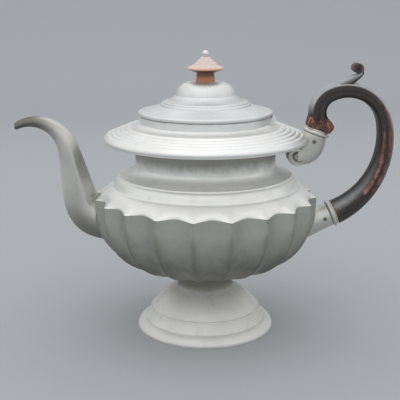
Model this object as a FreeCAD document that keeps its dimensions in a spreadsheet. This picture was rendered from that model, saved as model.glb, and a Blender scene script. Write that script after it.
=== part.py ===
import FreeCAD, Part
import math
import os

import Sketcher
from FreeCAD import Placement, Rotation, Vector

# A footed tin-alloy teapot: a fluted bowl on a turned foot, a stepped shoulder, a wide reeded collar,
# a hinged lid with a wooden finial, a swan-neck spout and a carved wooden handle in two cast sockets.
# Millimetres. +Z is up, the origin is on the table under the pot's axis, the spout points to -X.

SIZES = {
    # Walls and fits
    "wall": 1.3,
    "solder_gap": 0.1,
    "lid_gap": 0.3,
    "pin_play": 0.05,
    # Foot, from the table up
    "foot_height": 48.5,
    "foot_rest_radius": 52.4,
    "foot_rest_width": 4.0,
    "foot_radius": 53.2,
    "foot_edge_height": 2.2,
    "foot_band_radius": 47.0,
    "foot_band_height": 7.9,
    "foot_groove": 0.6,
    "foot_step_radius": 43.0,
    "foot_step_height": 15.6,
    "foot_bead": 1.3,
    "foot_dome_radius": 24.5,
    "foot_dome_height": 36.5,
    "foot_waist_radius": 21.0,
    "foot_waist_height": 41.0,
    "foot_flange_radius": 30.0,
    # Fluted bowl and ledge
    "bowl_height": 57.1,
    "bowl_belly_height": 46.5,
    "bowl_belly_radius": 85.0,
    "bowl_flare": 0.2,
    "flute_count": 20,
    "flute_depth": 4.8,
    "flute_turn": 9.0,
    "flute_end": 68.0,
    "ledge_rise": 8.8,
    "ledge_width": 12.8,
    # Shoulder and neck: how far in and how high above the ledge's ring
    "band_foot_inset": 2.0,
    "band_foot_rise": 1.2,
    "band_inset": 2.6,
    "band_rise": 3.6,
    "step_inset": 6.2,
    "step_rise": 8.0,
    "step_bead": 1.2,
    "neck_inset": 18.8,
    "neck_foot_rise": 18.6,
    "neck_rise": 43.8,
    # Collar and lid seat, out and in from the neck
    "mouth_inset": 8.1,
    "collar_height": 4.8,
    "collar_cove_reach": 4.4,
    "collar_cove_drop": 3.0,
    "reed_count": 5,
    "reed_pitch": 3.56,
    "reed_drop": 1.42,
    "rim_lip": 1.4,
    "rim_drop": 11.7,
    "rim_thickness": 1.8,
    "collar_shell": 1.9,
    "seat_width": 4.5,
    "seat_height": 5.6,
    # Lid, heights above its brim
    "brim_overhang": 0.9,
    "brim_edge": 1.5,
    "brim_bevel": 1.0,
    "brim_inner_radius": 34.4,
    "brim_rise": 6.9,
    "lid_bead": 1.1,
    "lid_cove_radius": 31.6,
    "lid_cove_rise": 9.9,
    "dome_foot_radius": 23.4,
    "dome_foot_rise": 15.1,
    "dome_step": 0.9,
    "dome_top_radius": 13.0,
    "lid_rise": 24.1,
    "flange_height": 6.0,
    "flange_clearance": 0.8,
    "flange_wall": 1.6,
    # Lid hinge
    "hinge_inset": 0.7,
    "hinge_drop": 2.8,
    "knuckle_radius": 2.3,
    "knuckle_length": 9.2,
    "knuckle_gap": 0.3,
    "hinge_pin_radius": 1.0,
    "hinge_pin_head": 0.8,
    "hinge_pin_lip": 0.6,
    "hinge_notch_wall": 1.8,
    "hinge_leaf_thickness": 2.4,
    # Finial and its stud, heights above the lid
    "finial_stem_radius": 7.4,
    "finial_waist_radius": 6.7,
    "finial_waist_rise": 6.5,
    "cap_under_radius": 12.4,
    "cap_under_rise": 8.0,
    "cap_radius": 13.8,
    "cap_edge_rise": 9.9,
    "cap_ring_count": 4,
    "cap_ring_width": 2.75,
    "cap_ring_rise": 2.2,
    "stud_radius": 1.4,
    "stud_bead_radius": 2.6,
    "stud_bead_middle": 2.1,
    "stud_bead_foot": 1.9,
    "stud_tail": 7.5,
    "washer_radius": 5.5,
    "washer_thickness": 1.0,
    "nut_across_flats": 6.5,
    "nut_height": 3.0,
    # Spout: centre line from inside the ridges to the mouth
    "spout_root_depth": 15.2,
    "spout_root_height": 87.6,
    "spout_root_run": 3.5,
    "spout_lower_bend": 23.0,
    "spout_lower_sweep": 77.6,
    "spout_rise": 36.2,
    "spout_upper_bend": 26.5,
    "spout_upper_sweep": 88.3,
    "spout_tip_run": 10.7,
    "spout_root_half_height": 17.0,
    "spout_root_half_width": 13.5,
    "spout_tip_half_height": 3.3,
    "spout_tip_half_width": 4.6,
    "spout_taper": 1.12,
    "spout_wall": 1.4,
    "spout_mouth_slant": 38.0,
    "spout_mouth_setback": 6.0,
    "mouth_cutter_size": 32.0,
    "port_radius": 9.5,
    "port_height": 88.0,
    "strainer_thickness": 1.6,
    "strainer_hole_radius": 1.3,
    "strainer_ring_radius": 5.4,
    "strainer_ring_holes": 8,
    # Handle: centre line from the upper socket to the lower one
    "handle_start_reach": 8.3,
    "handle_start_height": 156.9,
    "handle_start_tilt": 20.0,
    "handle_upright": 12.6,
    "handle_first_bend": 15.3,
    "handle_first_sweep": 63.8,
    "handle_top_bend": 30.3,
    "handle_top_sweep": 103.2,
    "handle_back_bend": 63.0,
    "handle_back_sweep": 79.0,
    "handle_lip": 9.8,
    "handle_heel": 8.8,
    "handle_spur": 12.8,
    "handle_spur_rise": 4.2,
    "handle_start_half": 6.6,
    "handle_top_half": 5.2,
    "handle_end_half": 9.3,
    "handle_slim_share": 0.42,
    "handle_swell_power": 1.3,
    "handle_half_width": 7.2,
    "handle_bevel": 2.6,
    "thumb_angle": 81.0,
    "thumb_rise": 17.6,
    "thumb_radius": 3.9,
    "thumb_half_width": 5.6,
    "leaf_back_angle": 111.0,
    "leaf_front_angle": 64.0,
    "leaf_sink": 1.0,
    "leaf_swell": 4.0,
    "leaf_tip_under_turn": 1.5,
    "leaf_tip_over_turn": 5.5,
    "tenon_radius": 5.2,
    "tenon_length": 14.0,
    "tenon_play": 0.1,
    # Sockets and their pins
    "socket_ring_radius": 10.2,
    "socket_ring_half_width": 9.2,
    "socket_ring_bead": 1.5,
    "socket_ring_set": 0.2,
    "horn_run": 13.4,
    "horn_bend": 11.4,
    "horn_sweep": 70.0,
    "horn_waist": 9.6,
    "volute_radius": 7.3,
    "volute_half_width": 6.8,
    "lower_root_depth": 15.2,
    "lower_root_height": 81.0,
    "lower_root_half_height": 15.5,
    "lower_root_half_width": 11.0,
    "lower_waist_run": 12.0,
    "lower_waist_half": 9.4,
    "handle_pin_radius": 1.4,
    "handle_pin_depth": 9.5,
    "handle_pin_stand": 0.5,
}

doc = FreeCAD.newDocument("Teapot")
sheet = doc.addObject("Spreadsheet::Sheet", "Sizes")
for row, (alias, amount) in enumerate(SIZES.items(), start=1):
    sheet.set("A%d" % row, alias)
    sheet.set("B%d" % row, str(amount))
    sheet.setAlias("B%d" % row, alias)
doc.recompute()


def number(text):
    """The value of a sum of named sizes, such as "cap_radius - wall"."""
    total = 0.0
    sign = 1.0
    for word in text.split():
        if word in "+-":
            sign = 1.0 if word == "+" else -1.0
        else:
            total += sign * sheet.get(word)
    return total


def linked(text):
    """The same sum, written for a property that follows the sheet."""
    return " ".join(word if word in "+-" else "Sizes." + word for word in text.split())


def times(count, name):
    """A name added up count times, with a plus before each."""
    return (" + " + name) * count


def less(text):
    """A sum to be taken away: a minus before it and every sign in it turned round."""
    return " - " + text.strip(" +").translate(str.maketrans("+-", "-+"))


# Levels up the pot's axis, each a sum of the heights below it
LEDGE = "foot_height + bowl_height"
RING = LEDGE + " + ledge_rise"
NECK_TOP = RING + " + neck_rise"
COLLAR_TOP = NECK_TOP + " + collar_height"
SEAT_TOP = COLLAR_TOP + " + seat_height"
BRIM = SEAT_TOP + " + lid_gap"
LID_TOP = BRIM + " + lid_rise"
LID_INSIDE = LID_TOP + " - wall"
CAP_EDGE = LID_TOP + " + cap_edge_rise"
CAP_TOP = CAP_EDGE + times(int(sheet.get("cap_ring_count")), "cap_ring_rise")

# Radii out from the pot's axis, each set from the bowl's
RIDGE = "bowl_belly_radius + bowl_flare"
LEDGE_RING = RIDGE + " - ledge_width"
STEP = LEDGE_RING + " - step_inset"
NECK = LEDGE_RING + " - neck_inset"
MOUTH = NECK + " - mouth_inset"
SEAT = MOUTH + " + seat_width"
COVE = NECK + " + collar_cove_reach"
RIM = COVE + times(int(sheet.get("reed_count")), "reed_pitch") + " + rim_lip"
LID_EDGE = SEAT + " + brim_overhang"

ORIGIN_POINT = (-1, 1)
AXIS_FOR = {"DistanceX": -2, "DistanceY": -1}


def plane_of(body, role):
    """One of a body's own origin planes."""
    return next(item for item in body.Origin.OriginFeatures if item.Role == role)


def turned(label, outline):
    """A turned piece. Its outline goes clockwise, each row a radius, a height and the stretch to the next.

    A stretch is None for a straight line, or the degrees it bends, above zero where it swells outwards.
    """
    body = doc.addObject("PartDesign::Body", label)
    sketch = body.newObject("Sketcher::SketchObject", label + "_outline")
    sketch.AttachmentSupport = [(plane_of(body, "XZ_Plane"), "")]
    sketch.MapMode = "FlatFace"
    corners = [Vector(number(radius), number(height), 0) for radius, height, bend in outline]
    starts = []
    for index, (radius, height, bend) in enumerate(outline):
        first = corners[index]
        last = corners[(index + 1) % len(corners)]
        if bend is None:
            sketch.addGeometry(Part.LineSegment(first, last), False)
            starts.append((index, 1))
            continue
        chord = last - first
        outwards = Vector(-chord.y, chord.x, 0).normalize() * (1 if bend > 0 else -1)
        half = math.radians(abs(bend)) / 2
        radius = chord.Length / 2 / math.sin(half)
        centre = (first + last) / 2 - outwards * (radius * math.cos(half))
        circle = Part.Circle(centre, Vector(0, 0, 1), radius)
        middle = math.atan2(outwards.y, outwards.x)
        sketch.addGeometry(Part.ArcOfCircle(circle, middle - half, middle + half), False)
        starts.append((index, 2 if bend > 0 else 1))
    for index, (radius, height, bend) in enumerate(outline):
        segment, start = starts[index]
        before, before_start = starts[index - 1]
        sketch.addConstraint(Sketcher.Constraint("Coincident", before, 3 - before_start, segment, start))
        for kind, text in (("DistanceX", radius), ("DistanceY", height)):
            if abs(number(text)) < 1e-9:
                sketch.addConstraint(Sketcher.Constraint("PointOnObject", segment, start, AXIS_FOR[kind]))
                continue
            place = sketch.addConstraint(
                Sketcher.Constraint(kind, *ORIGIN_POINT, segment, start, number(text)))
            sketch.setExpression("Constraints[%d]" % place, linked(text))
        if bend is not None:
            sketch.addConstraint(Sketcher.Constraint("Angle", segment, math.radians(abs(bend))))
    revolution = body.newObject("PartDesign::Revolution", label + "_turning")
    revolution.Profile = sketch
    revolution.ReferenceAxis = (sketch, ["V_Axis"])
    revolution.Angle = 360
    return body


def cylinder(label, radius, length, start, direction):
    """A round bar from a start point along a direction, with its radius and length tied to the sheet."""
    bar = doc.addObject("Part::Cylinder", label)
    bar.setExpression("Radius", linked(radius))
    bar.setExpression("Height", linked(length))
    bar.Placement = Placement(start, Rotation(Vector(0, 0, 1), direction))
    return bar


def block(label, length, width, height, corner):
    """A box from its lowest corner, with its three sizes tied to the sheet."""
    box = doc.addObject("Part::Box", label)
    box.setExpression("Length", linked(length))
    box.setExpression("Width", linked(width))
    box.setExpression("Height", linked(height))
    box.Placement = Placement(corner, Rotation())
    return box


def joined(label, pieces):
    """Several shapes made one."""
    fusion = doc.addObject("Part::MultiFuse", label)
    fusion.Shapes = pieces
    return fusion


def cut(label, base, tool):
    """A shape with another taken away."""
    result = doc.addObject("Part::Cut", label)
    result.Base = base
    result.Tool = tool
    return result


def loft(label, wires, ruled=False):
    """A solid through a row of closed sections."""
    sections = []
    for index, wire in enumerate(wires):
        section = doc.addObject("Part::Feature", "%s_section_%d" % (label, index))
        section.Shape = wire
        sections.append(section)
    solid = doc.addObject("Part::Loft", label)
    solid.Sections = sections
    solid.Solid = True
    solid.Ruled = ruled
    return solid


def walk(start, heading, stretches):
    """Points and headings along a path in the plane of the handle and spout, as a function of the way gone.

    A stretch is a length with no bend, or a bend radius with a sweep in degrees, above zero to the left.
    """
    legs = []
    point, angle, total = start, heading, 0.0
    for amount, sweep in stretches:
        length = amount * math.radians(abs(sweep)) if sweep else amount
        legs.append((total, length, point, angle, amount, sweep))
        point, angle = step_along(point, angle, amount, sweep, length)
        total += length

    def at(way):
        chosen = legs[0]
        for leg in legs:
            if way >= leg[0]:
                chosen = leg
        begin, length, point, angle, amount, sweep = chosen
        return step_along(point, angle, amount, sweep, way - begin)

    return at, total


def step_along(point, angle, amount, sweep, way):
    """The point and heading after going some way along one stretch."""
    radians = math.radians(angle)
    if not sweep:
        return point + Vector(math.cos(radians), 0, math.sin(radians)) * way, angle
    side = 1.0 if sweep > 0 else -1.0
    centre = point + Vector(-math.sin(radians), 0, math.cos(radians)) * (side * amount)
    angle += side * math.degrees(way / amount)
    radians = math.radians(angle)
    return centre - Vector(-math.sin(radians), 0, math.cos(radians)) * (side * amount), angle


def oval(point, angle, half_height, half_width):
    """An oval section square to a path in the plane of the handle and spout."""
    radians = math.radians(angle)
    across = Vector(-math.sin(radians), 0, math.cos(radians))
    normal = Vector(math.cos(radians), 0, math.sin(radians))
    if half_height >= half_width:
        ellipse = Part.Ellipse(point + across * half_height, point + Vector(0, half_width, 0), point)
    else:
        ellipse = Part.Ellipse(point + Vector(0, half_width, 0), point + across * half_height, point)
    arc = Part.ArcOfEllipse(ellipse, 0, 2 * math.pi)
    edge = arc.toShape()
    return Part.Wire([edge])


# Foot: a turned shell, open below, whose flange carries the bowl
foot = turned("foot", [
    ("foot_flange_radius", "foot_height", -62),
    ("foot_waist_radius", "foot_waist_height", -46),
    ("foot_dome_radius", "foot_dome_height", 34),
    ("foot_step_radius - foot_bead", "foot_step_height + foot_bead", 130),
    ("foot_step_radius", "foot_step_height", -22),
    ("foot_band_radius - foot_groove", "foot_band_height", None),
    ("foot_band_radius", "foot_band_height", 62),
    ("foot_radius", "foot_edge_height", 50),
    ("foot_rest_radius", "", None),
    ("foot_rest_radius - foot_rest_width", "", None),
    ("foot_band_radius - wall", "foot_band_height - wall", None),
    ("foot_step_radius - wall", "foot_step_height - wall", -34),
    ("foot_dome_radius - wall", "foot_dome_height - wall", 46),
    ("foot_waist_radius - wall", "foot_waist_height", 62),
    ("foot_flange_radius - wall", "foot_height", None),
])

# Flutes: every section is a ring of hollow arcs that meet in ridges
FLUTES = int(number("flute_count"))
PITCH = math.radians(360.0 / FLUTES)
FIRST_RIDGE = math.radians(number("flute_turn") - 90)


def on_ring(radius, angle, height):
    """A point on a level ring about the pot's axis."""
    return Vector(radius * math.cos(angle), radius * math.sin(angle), height)


def scalloped(ridge, depth, height):
    """A level ring of arcs between ridges, hollow by a depth below the chord, round where depth is None."""
    middle = ridge if depth is None else ridge * math.cos(PITCH / 2) - depth
    edges = []
    for index in range(FLUTES):
        angle = FIRST_RIDGE + index * PITCH
        arc = Part.Arc(on_ring(ridge, angle, height), on_ring(middle, angle + PITCH / 2, height),
                       on_ring(ridge, angle + PITCH, height))
        edges.append(arc.toShape())
    return Part.Wire(edges)


# Degrees up the bowl's quarter oval at which a section is drawn, from near the floor to the belly
BOWL_STEPS = (76, 62, 48, 34, 18, 0)


def bowl_sections(inset, lift):
    """The bowl's sections from floor to ledge, drawn in by an inset, with the floor raised by a lift."""
    floor = number("foot_height")
    belly = floor + number("bowl_belly_height")
    floor_radius = number("foot_flange_radius")
    reach = number("bowl_belly_radius") - floor_radius - inset
    drop = number("bowl_belly_height") - lift
    hollow = number("flute_depth") / (number(RIDGE) * math.sin(PITCH / 2))
    wires = [scalloped(floor_radius, None, floor + lift)]
    for degrees in BOWL_STEPS:
        turn = math.radians(degrees)
        ridge = floor_radius + reach * math.cos(turn)
        fade = min(1.0, (90.0 - degrees) / (90.0 - number("flute_end")))
        depth = hollow * fade * ridge * math.sin(PITCH / 2)
        wires.append(scalloped(ridge, depth, belly - drop * math.sin(turn)))
    wires.append(scalloped(number(RIDGE) - inset, number("flute_depth"), number(LEDGE)))
    return wires


def ledge_sections(inset):
    """The ledge's two sections: the scalloped edge and the ring above it."""
    return [scalloped(number(RIDGE) - inset, number("flute_depth"), number(LEDGE)),
            scalloped(number(LEDGE_RING) - inset, None, number(RING))]


PORT_START = Vector(-number(RIDGE), 0, number("port_height"))
bowl_outside = loft("bowl_outside", bowl_sections(0, 0))
bowl_inside = loft("bowl_inside", bowl_sections(number("wall"), number("wall")))
bowl_port = cylinder("bowl_port", "port_radius", RIDGE, PORT_START, Vector(1, 0, 0))
fluted_bowl = cut("fluted_bowl", bowl_outside, joined("bowl_hollow", [bowl_inside, bowl_port]))

# Shoulder: the fluted ledge and, above its ring, the turned band, step and neck
ledge_shell = cut("ledge_shell", loft("ledge_outside", ledge_sections(0), True),
                  loft("ledge_inside", ledge_sections(number("wall")), True))
neck_shell = turned("neck_shell", [
    (NECK, NECK_TOP, None),
    (NECK, RING + " + neck_foot_rise", -60),
    (STEP + " - step_bead", RING + " + step_rise + step_bead", 120),
    (STEP, RING + " + step_rise", 52),
    (LEDGE_RING + " - band_inset", RING + " + band_rise", None),
    (LEDGE_RING + " - band_foot_inset", RING + " + band_foot_rise", -50),
    (LEDGE_RING, RING, None),
    (LEDGE_RING + " - wall", RING, None),
    (LEDGE_RING + " - band_inset - wall", RING + " + band_rise - band_foot_rise", 40),
    (STEP + " - wall", RING + " + step_rise - wall", None),
    (STEP + " - step_bead - wall", RING + " + step_rise", 54),
    (NECK + " - wall", RING + " + neck_foot_rise", None),
    (NECK + " - wall", NECK_TOP, None),
])
shoulder = joined("shoulder", [ledge_shell, neck_shell])

# Collar: a flared ring with turned reeds, from the lid seat out to a rounded rim
reeds = []
for index in range(int(number("reed_count"))):
    reeds.append((COVE + times(index, "reed_pitch"),
                  COLLAR_TOP + less("collar_cove_drop" + times(index, "reed_drop")), 75))
collar = turned("collar", [
    (MOUTH, COLLAR_TOP, None),
    (SEAT, COLLAR_TOP, -62),
    *reeds,
    (COVE + times(len(reeds), "reed_pitch"),
     COLLAR_TOP + less("collar_cove_drop" + times(len(reeds), "reed_drop")), 60),
    (RIM, COLLAR_TOP + " - rim_drop", 80),
    (RIM + " - rim_thickness", COLLAR_TOP + " - rim_drop - rim_thickness", None),
    (RIM + " - rim_thickness - collar_shell", COLLAR_TOP + " - rim_drop - rim_thickness", None),
    (COVE, COLLAR_TOP + " - collar_cove_drop - collar_shell", None),
    (NECK + " + wall", NECK_TOP, None),
    (MOUTH, NECK_TOP, None),
])

# Lid seat ring: the upright band round the mouth, notched on the handle side to make room for the hinge
HINGE_X = LID_EDGE + " - hinge_inset"
HINGE_Z = BRIM + " - hinge_drop"
KNUCKLE_START = number("knuckle_length") / 2 + number("knuckle_gap")
KNUCKLE_END = KNUCKLE_START + number("knuckle_length")
PIN_LENGTH = "knuckle_gap + knuckle_gap + pin_play + pin_play" + times(3, "knuckle_length")
NOTCH_X = MOUTH + " + hinge_notch_wall"
seat_band = turned("seat_band", [
    (MOUTH, SEAT_TOP, None),
    (SEAT, SEAT_TOP, None),
    (SEAT, COLLAR_TOP, None),
    (MOUTH, COLLAR_TOP, None),
])
NOTCH_WIDTH = PIN_LENGTH + times(2, "hinge_pin_head") + times(2, "knuckle_gap")
hinge_notch = block("hinge_notch", SEAT, NOTCH_WIDTH, "seat_height + lid_gap",
                    Vector(number(NOTCH_X), -number(NOTCH_WIDTH) / 2, number(COLLAR_TOP)))
lid_seat_ring = cut("lid_seat_ring", seat_band, hinge_notch)

# Spout: an oval tube along a double bend, seated on the flutes and cut slanting at the mouth
spout_at, spout_length = walk(
    Vector(-number(RIDGE + " - spout_root_depth"), 0, number("spout_root_height")), 180.0,
    [(number("spout_root_run"), 0), (number("spout_lower_bend"), -number("spout_lower_sweep")),
     (number("spout_rise"), 0), (number("spout_upper_bend"), number("spout_upper_sweep")),
     (number("spout_tip_run"), 0)])
SPOUT_STATIONS = 13


def spout_sections(inset):
    """Ovals along the spout, tapering to the tip, drawn in by an inset."""
    wires = []
    for index in range(SPOUT_STATIONS):
        share = index / (SPOUT_STATIONS - 1)
        left = (1 - share) ** number("spout_taper")
        growth = number("spout_root_half_height - spout_tip_half_height")
        height = number("spout_tip_half_height") + left * growth
        growth = number("spout_root_half_width - spout_tip_half_width")
        width = number("spout_tip_half_width") + left * growth
        point, angle = spout_at(share * spout_length)
        wires.append(oval(point, angle, height - inset, width - inset))
    return wires


GAP = number("solder_gap")
bowl_seat = loft("bowl_seat", bowl_sections(-GAP, -GAP))
ledge_seat = loft("ledge_seat", ledge_sections(-GAP), True)
mouth_point, mouth_angle = spout_at(spout_length - number("spout_mouth_setback"))
mouth_cutter = block("mouth_cutter", "mouth_cutter_size", "mouth_cutter_size", "mouth_cutter_size", Vector())
mouth_turn = Rotation(Vector(0, 1, 0), -number("spout_mouth_slant"))
mouth_corner = Vector(-number("mouth_cutter_size") / 2, -number("mouth_cutter_size") / 2, 0)
mouth_cutter.Placement = Placement(mouth_point + mouth_turn.multVec(mouth_corner), mouth_turn)
spout_tube = cut("spout_tube", loft("spout_outside", spout_sections(0)),
                 loft("spout_inside", spout_sections(number("spout_wall"))))
spout = cut("spout", spout_tube, joined("spout_trim", [bowl_seat, ledge_seat, mouth_cutter]))

# Strainer: a pierced disc in the port behind the spout
flute_floor = number(RIDGE) * math.cos(PITCH / 2) - number("flute_depth")
strainer_start = Vector(-flute_floor - GAP, 0, number("port_height"))
strainer_disc = cylinder("strainer_disc", "port_radius - solder_gap", "strainer_thickness", strainer_start,
                         Vector(1, 0, 0))
strainer_holes = [cylinder("strainer_hole", "strainer_hole_radius", "strainer_thickness", strainer_start,
                           Vector(1, 0, 0))]
for index in range(int(number("strainer_ring_holes"))):
    turn = 2 * math.pi * index / number("strainer_ring_holes")
    offset = Vector(0, math.cos(turn), math.sin(turn)) * number("strainer_ring_radius")
    strainer_holes.append(cylinder("strainer_hole", "strainer_hole_radius", "strainer_thickness",
                                   strainer_start + offset, Vector(1, 0, 0)))
spout_strainer = cut("spout_strainer", strainer_disc, joined("strainer_piercing", strainer_holes))

# Handle: a bevelled loop of wood on tangent bends, with a tenon at each end and a thumb scroll on top
HANDLE_START = Vector(number(RIM + " + handle_start_reach"), 0, number("handle_start_height"))
handle_at, handle_length = walk(HANDLE_START, 90.0, [
    (number("handle_upright"), 0), (number("handle_first_bend"), -number("handle_first_sweep")),
    (number("handle_top_bend"), -number("handle_top_sweep")),
    (number("handle_back_bend"), -number("handle_back_sweep"))])
HANDLE_STATIONS = 15
UPPER_HEADING = 270.0 - number("handle_start_tilt")
HANDLE_END, LOWER_HEADING = handle_at(handle_length)


def bevelled(point, angle, outer, inner, half_width):
    """An eight-sided section square to the handle's path, from its outer to its inner edge."""
    radians = math.radians(angle)
    across = Vector(-math.sin(radians), 0, math.cos(radians))
    bevel = number("handle_bevel")
    corners = []
    flat = half_width - bevel
    side = [(outer, flat), (outer - bevel, half_width), (bevel - inner, half_width), (-inner, flat)]
    for high, wide in side + [(high, -wide) for high, wide in reversed(side)]:
        corners.append(point + across * high + Vector(0, wide, 0))
    return Part.makePolygon(corners + corners[:1])


def handle_half(share):
    """Half the handle's thickness: slimmest a little past the top, stoutest at the lower end."""
    slim = number("handle_slim_share")
    if share < slim:
        return number("handle_top_half") + number("handle_start_half - handle_top_half") * (1 - share / slim)
    swell = ((share - slim) / (1 - slim)) ** number("handle_swell_power")
    return number("handle_top_half") + number("handle_end_half - handle_top_half") * swell


tilt = number("handle_start_tilt")
spur_point, spur_angle = handle_at(number("handle_spur_rise"))
handle_wires = [
    bevelled(HANDLE_START, 90.0 - tilt, number("handle_heel"), number("handle_lip"),
             number("socket_ring_half_width")),
    bevelled(spur_point, spur_angle - tilt / 2, number("handle_start_half + wall"), number("handle_spur"),
             number("handle_half_width")),
]
for index in range(1, HANDLE_STATIONS):
    share = index / (HANDLE_STATIONS - 1)
    point, angle = handle_at(share * handle_length)
    half = handle_half(share)
    handle_wires.append(bevelled(point, angle, half, half, number("handle_half_width")))
handle_loop = loft("handle_loop", handle_wires)

# Thumb scroll: a leaf that rises off the top bend and rolls up in a curl
first_end, first_angle = handle_at(number("handle_upright") + number("handle_first_bend")
                                   * math.radians(number("handle_first_sweep")))
top_normal = Vector(math.sin(math.radians(first_angle)), 0, -math.cos(math.radians(first_angle)))
TOP_CENTRE = first_end + top_normal * number("handle_top_bend")


def off_top(degrees, rise):
    """A point at an angle about the top bend's centre, some rise outside the centre line."""
    radians = math.radians(degrees)
    return TOP_CENTRE + Vector(math.cos(radians), 0, math.sin(radians)) * (number("handle_top_bend") + rise)


leaf_back = number("leaf_back_angle")
leaf_front = number("leaf_front_angle")
curl_angle = number("thumb_angle")
curl_rise = number("thumb_rise")
skin = number("handle_top_half") - number("leaf_sink")
tip_low = off_top(curl_angle - number("leaf_tip_under_turn"), curl_rise - number("thumb_radius"))
tip_high = off_top(curl_angle - number("leaf_tip_over_turn"), curl_rise)
leaf_edges = [
    Part.LineSegment(off_top(leaf_back, 0), off_top(leaf_back, skin)).toShape(),
    Part.Arc(off_top(leaf_back, skin), off_top((leaf_back + curl_angle) / 2, skin + number("leaf_swell")),
             tip_low).toShape(),
    Part.LineSegment(tip_low, off_top(curl_angle, curl_rise)).toShape(),
    Part.LineSegment(off_top(curl_angle, curl_rise), tip_high).toShape(),
    Part.Arc(tip_high, off_top((leaf_front + curl_angle) / 2, skin + number("leaf_swell")),
             off_top(leaf_front, skin)).toShape(),
    Part.LineSegment(off_top(leaf_front, skin), off_top(leaf_front, 0)).toShape(),
    Part.Arc(off_top(leaf_front, 0), off_top((leaf_front + leaf_back) / 2, 0),
             off_top(leaf_back, 0)).toShape(),
]
leaf_face = doc.addObject("Part::Feature", "leaf_face")
leaf_face.Shape = Part.Face(Part.Wire(leaf_edges))
thumb_leaf = doc.addObject("Part::Extrusion", "thumb_leaf")
thumb_leaf.Base = leaf_face
thumb_leaf.DirMode = "Custom"
thumb_leaf.Dir = Vector(0, 1, 0)
thumb_leaf.setExpression("LengthFwd", "2 * " + linked("thumb_half_width"))
thumb_leaf.Symmetric = True
thumb_leaf.Solid = True
curl_start = off_top(curl_angle, curl_rise) - Vector(0, number("thumb_half_width"), 0)
thumb_curl = cylinder("thumb_curl", "thumb_radius", "thumb_half_width + thumb_half_width", curl_start,
                      Vector(0, 1, 0))


def pointing(angle):
    """The direction of a heading in the plane of the handle and spout."""
    return Vector(math.cos(math.radians(angle)), 0, math.sin(math.radians(angle)))


def handle_end(name, point, heading):
    """A tenon, the bore it sits in, its pin and the pin's hole, for one end of the handle."""
    way = pointing(heading)
    tenon = cylinder(name + "_tenon", "tenon_radius", "tenon_length", point, way)
    bore = cylinder(name + "_bore", "tenon_radius + tenon_play", "tenon_length + tenon_play", point, way)
    half = number("socket_ring_half_width + handle_pin_stand")
    start = point + way * number("handle_pin_depth") - Vector(0, half, 0)
    length = "socket_ring_half_width + handle_pin_stand + socket_ring_half_width + handle_pin_stand"
    pin = cylinder(name + "_handle_pin", "handle_pin_radius", length, start, Vector(0, 1, 0))
    hole = cylinder(name + "_hole", "handle_pin_radius + pin_play", length, start, Vector(0, 1, 0))
    return tenon, bore, pin, hole


upper_tenon, upper_bore, upper_handle_pin, upper_hole = handle_end("upper", HANDLE_START, UPPER_HEADING)
lower_tenon, lower_bore, lower_handle_pin, lower_hole = handle_end("lower", HANDLE_END, LOWER_HEADING)
handle_blank = joined("handle_blank", [handle_loop, thumb_leaf, thumb_curl, upper_tenon, lower_tenon])
handle = cut("handle", handle_blank, joined("handle_drilling", [upper_hole, lower_hole]))


def socket_ring(name, point, heading):
    """The half-round ring at a socket's mouth."""
    ring = doc.addObject("Part::Torus", name)
    ring.setExpression("Radius1", linked("socket_ring_half_width"))
    ring.setExpression("Radius2", linked("socket_ring_bead"))
    centre = point + pointing(heading) * number("socket_ring_bead + socket_ring_set")
    ring.Placement = Placement(centre, Rotation(Vector(0, 0, 1), pointing(heading)))
    return ring


# Upper socket: a cast horn that bends in under the collar's rim and ends in a volute
horn_at, horn_length = walk(HANDLE_START, UPPER_HEADING, [
    (number("horn_run"), 0), (number("horn_bend"), -number("horn_sweep"))])
HORN_STATIONS = 6
horn_wires = []
for index in range(HORN_STATIONS):
    share = index / (HORN_STATIONS - 1)
    point, angle = horn_at(number("socket_ring_set") + share * (horn_length - number("socket_ring_set")))
    half = (number("socket_ring_radius") * (1 - share) * (1 - 2 * share)
            + number("horn_waist") * 4 * share * (1 - share)
            + number("volute_radius") * share * (2 * share - 1))
    narrowing = number("volute_half_width - socket_ring_half_width")
    half_width = number("socket_ring_half_width") + share * narrowing
    horn_wires.append(oval(point, angle, half, half_width))
volute_centre, volute_angle = horn_at(horn_length)
volute = cylinder("volute", "volute_radius", "volute_half_width + volute_half_width",
                  volute_centre - Vector(0, number("volute_half_width"), 0), Vector(0, 1, 0))
horn = joined("horn", [loft("horn_loft", horn_wires), volute,
                       socket_ring("upper_ring", HANDLE_START, UPPER_HEADING)])
upper_socket = cut("upper_socket", horn,
                   joined("upper_socket_drilling", [upper_bore, upper_hole, collar, shoulder]))

# Lower socket: a cast taper from the handle's end to a flared foot on the flutes
lower_way = pointing(LOWER_HEADING)
lower_wires = [
    oval(HANDLE_END + lower_way * number("socket_ring_set"), LOWER_HEADING, number("socket_ring_radius"),
         number("socket_ring_half_width")),
    oval(HANDLE_END + lower_way * number("lower_waist_run"), LOWER_HEADING, number("lower_waist_half"),
         number("socket_ring_half_width")),
    oval(Vector(number(RIDGE + " - lower_root_depth"), 0, number("lower_root_height")), 180.0,
         number("lower_root_half_height"), number("lower_root_half_width")),
]
lower_body = joined("lower_body", [loft("lower_loft", lower_wires),
                                   socket_ring("lower_ring", HANDLE_END, LOWER_HEADING)])
lower_socket = cut("lower_socket", lower_body,
                   joined("lower_socket_drilling", [lower_bore, lower_hole, bowl_seat, ledge_seat]))

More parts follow.
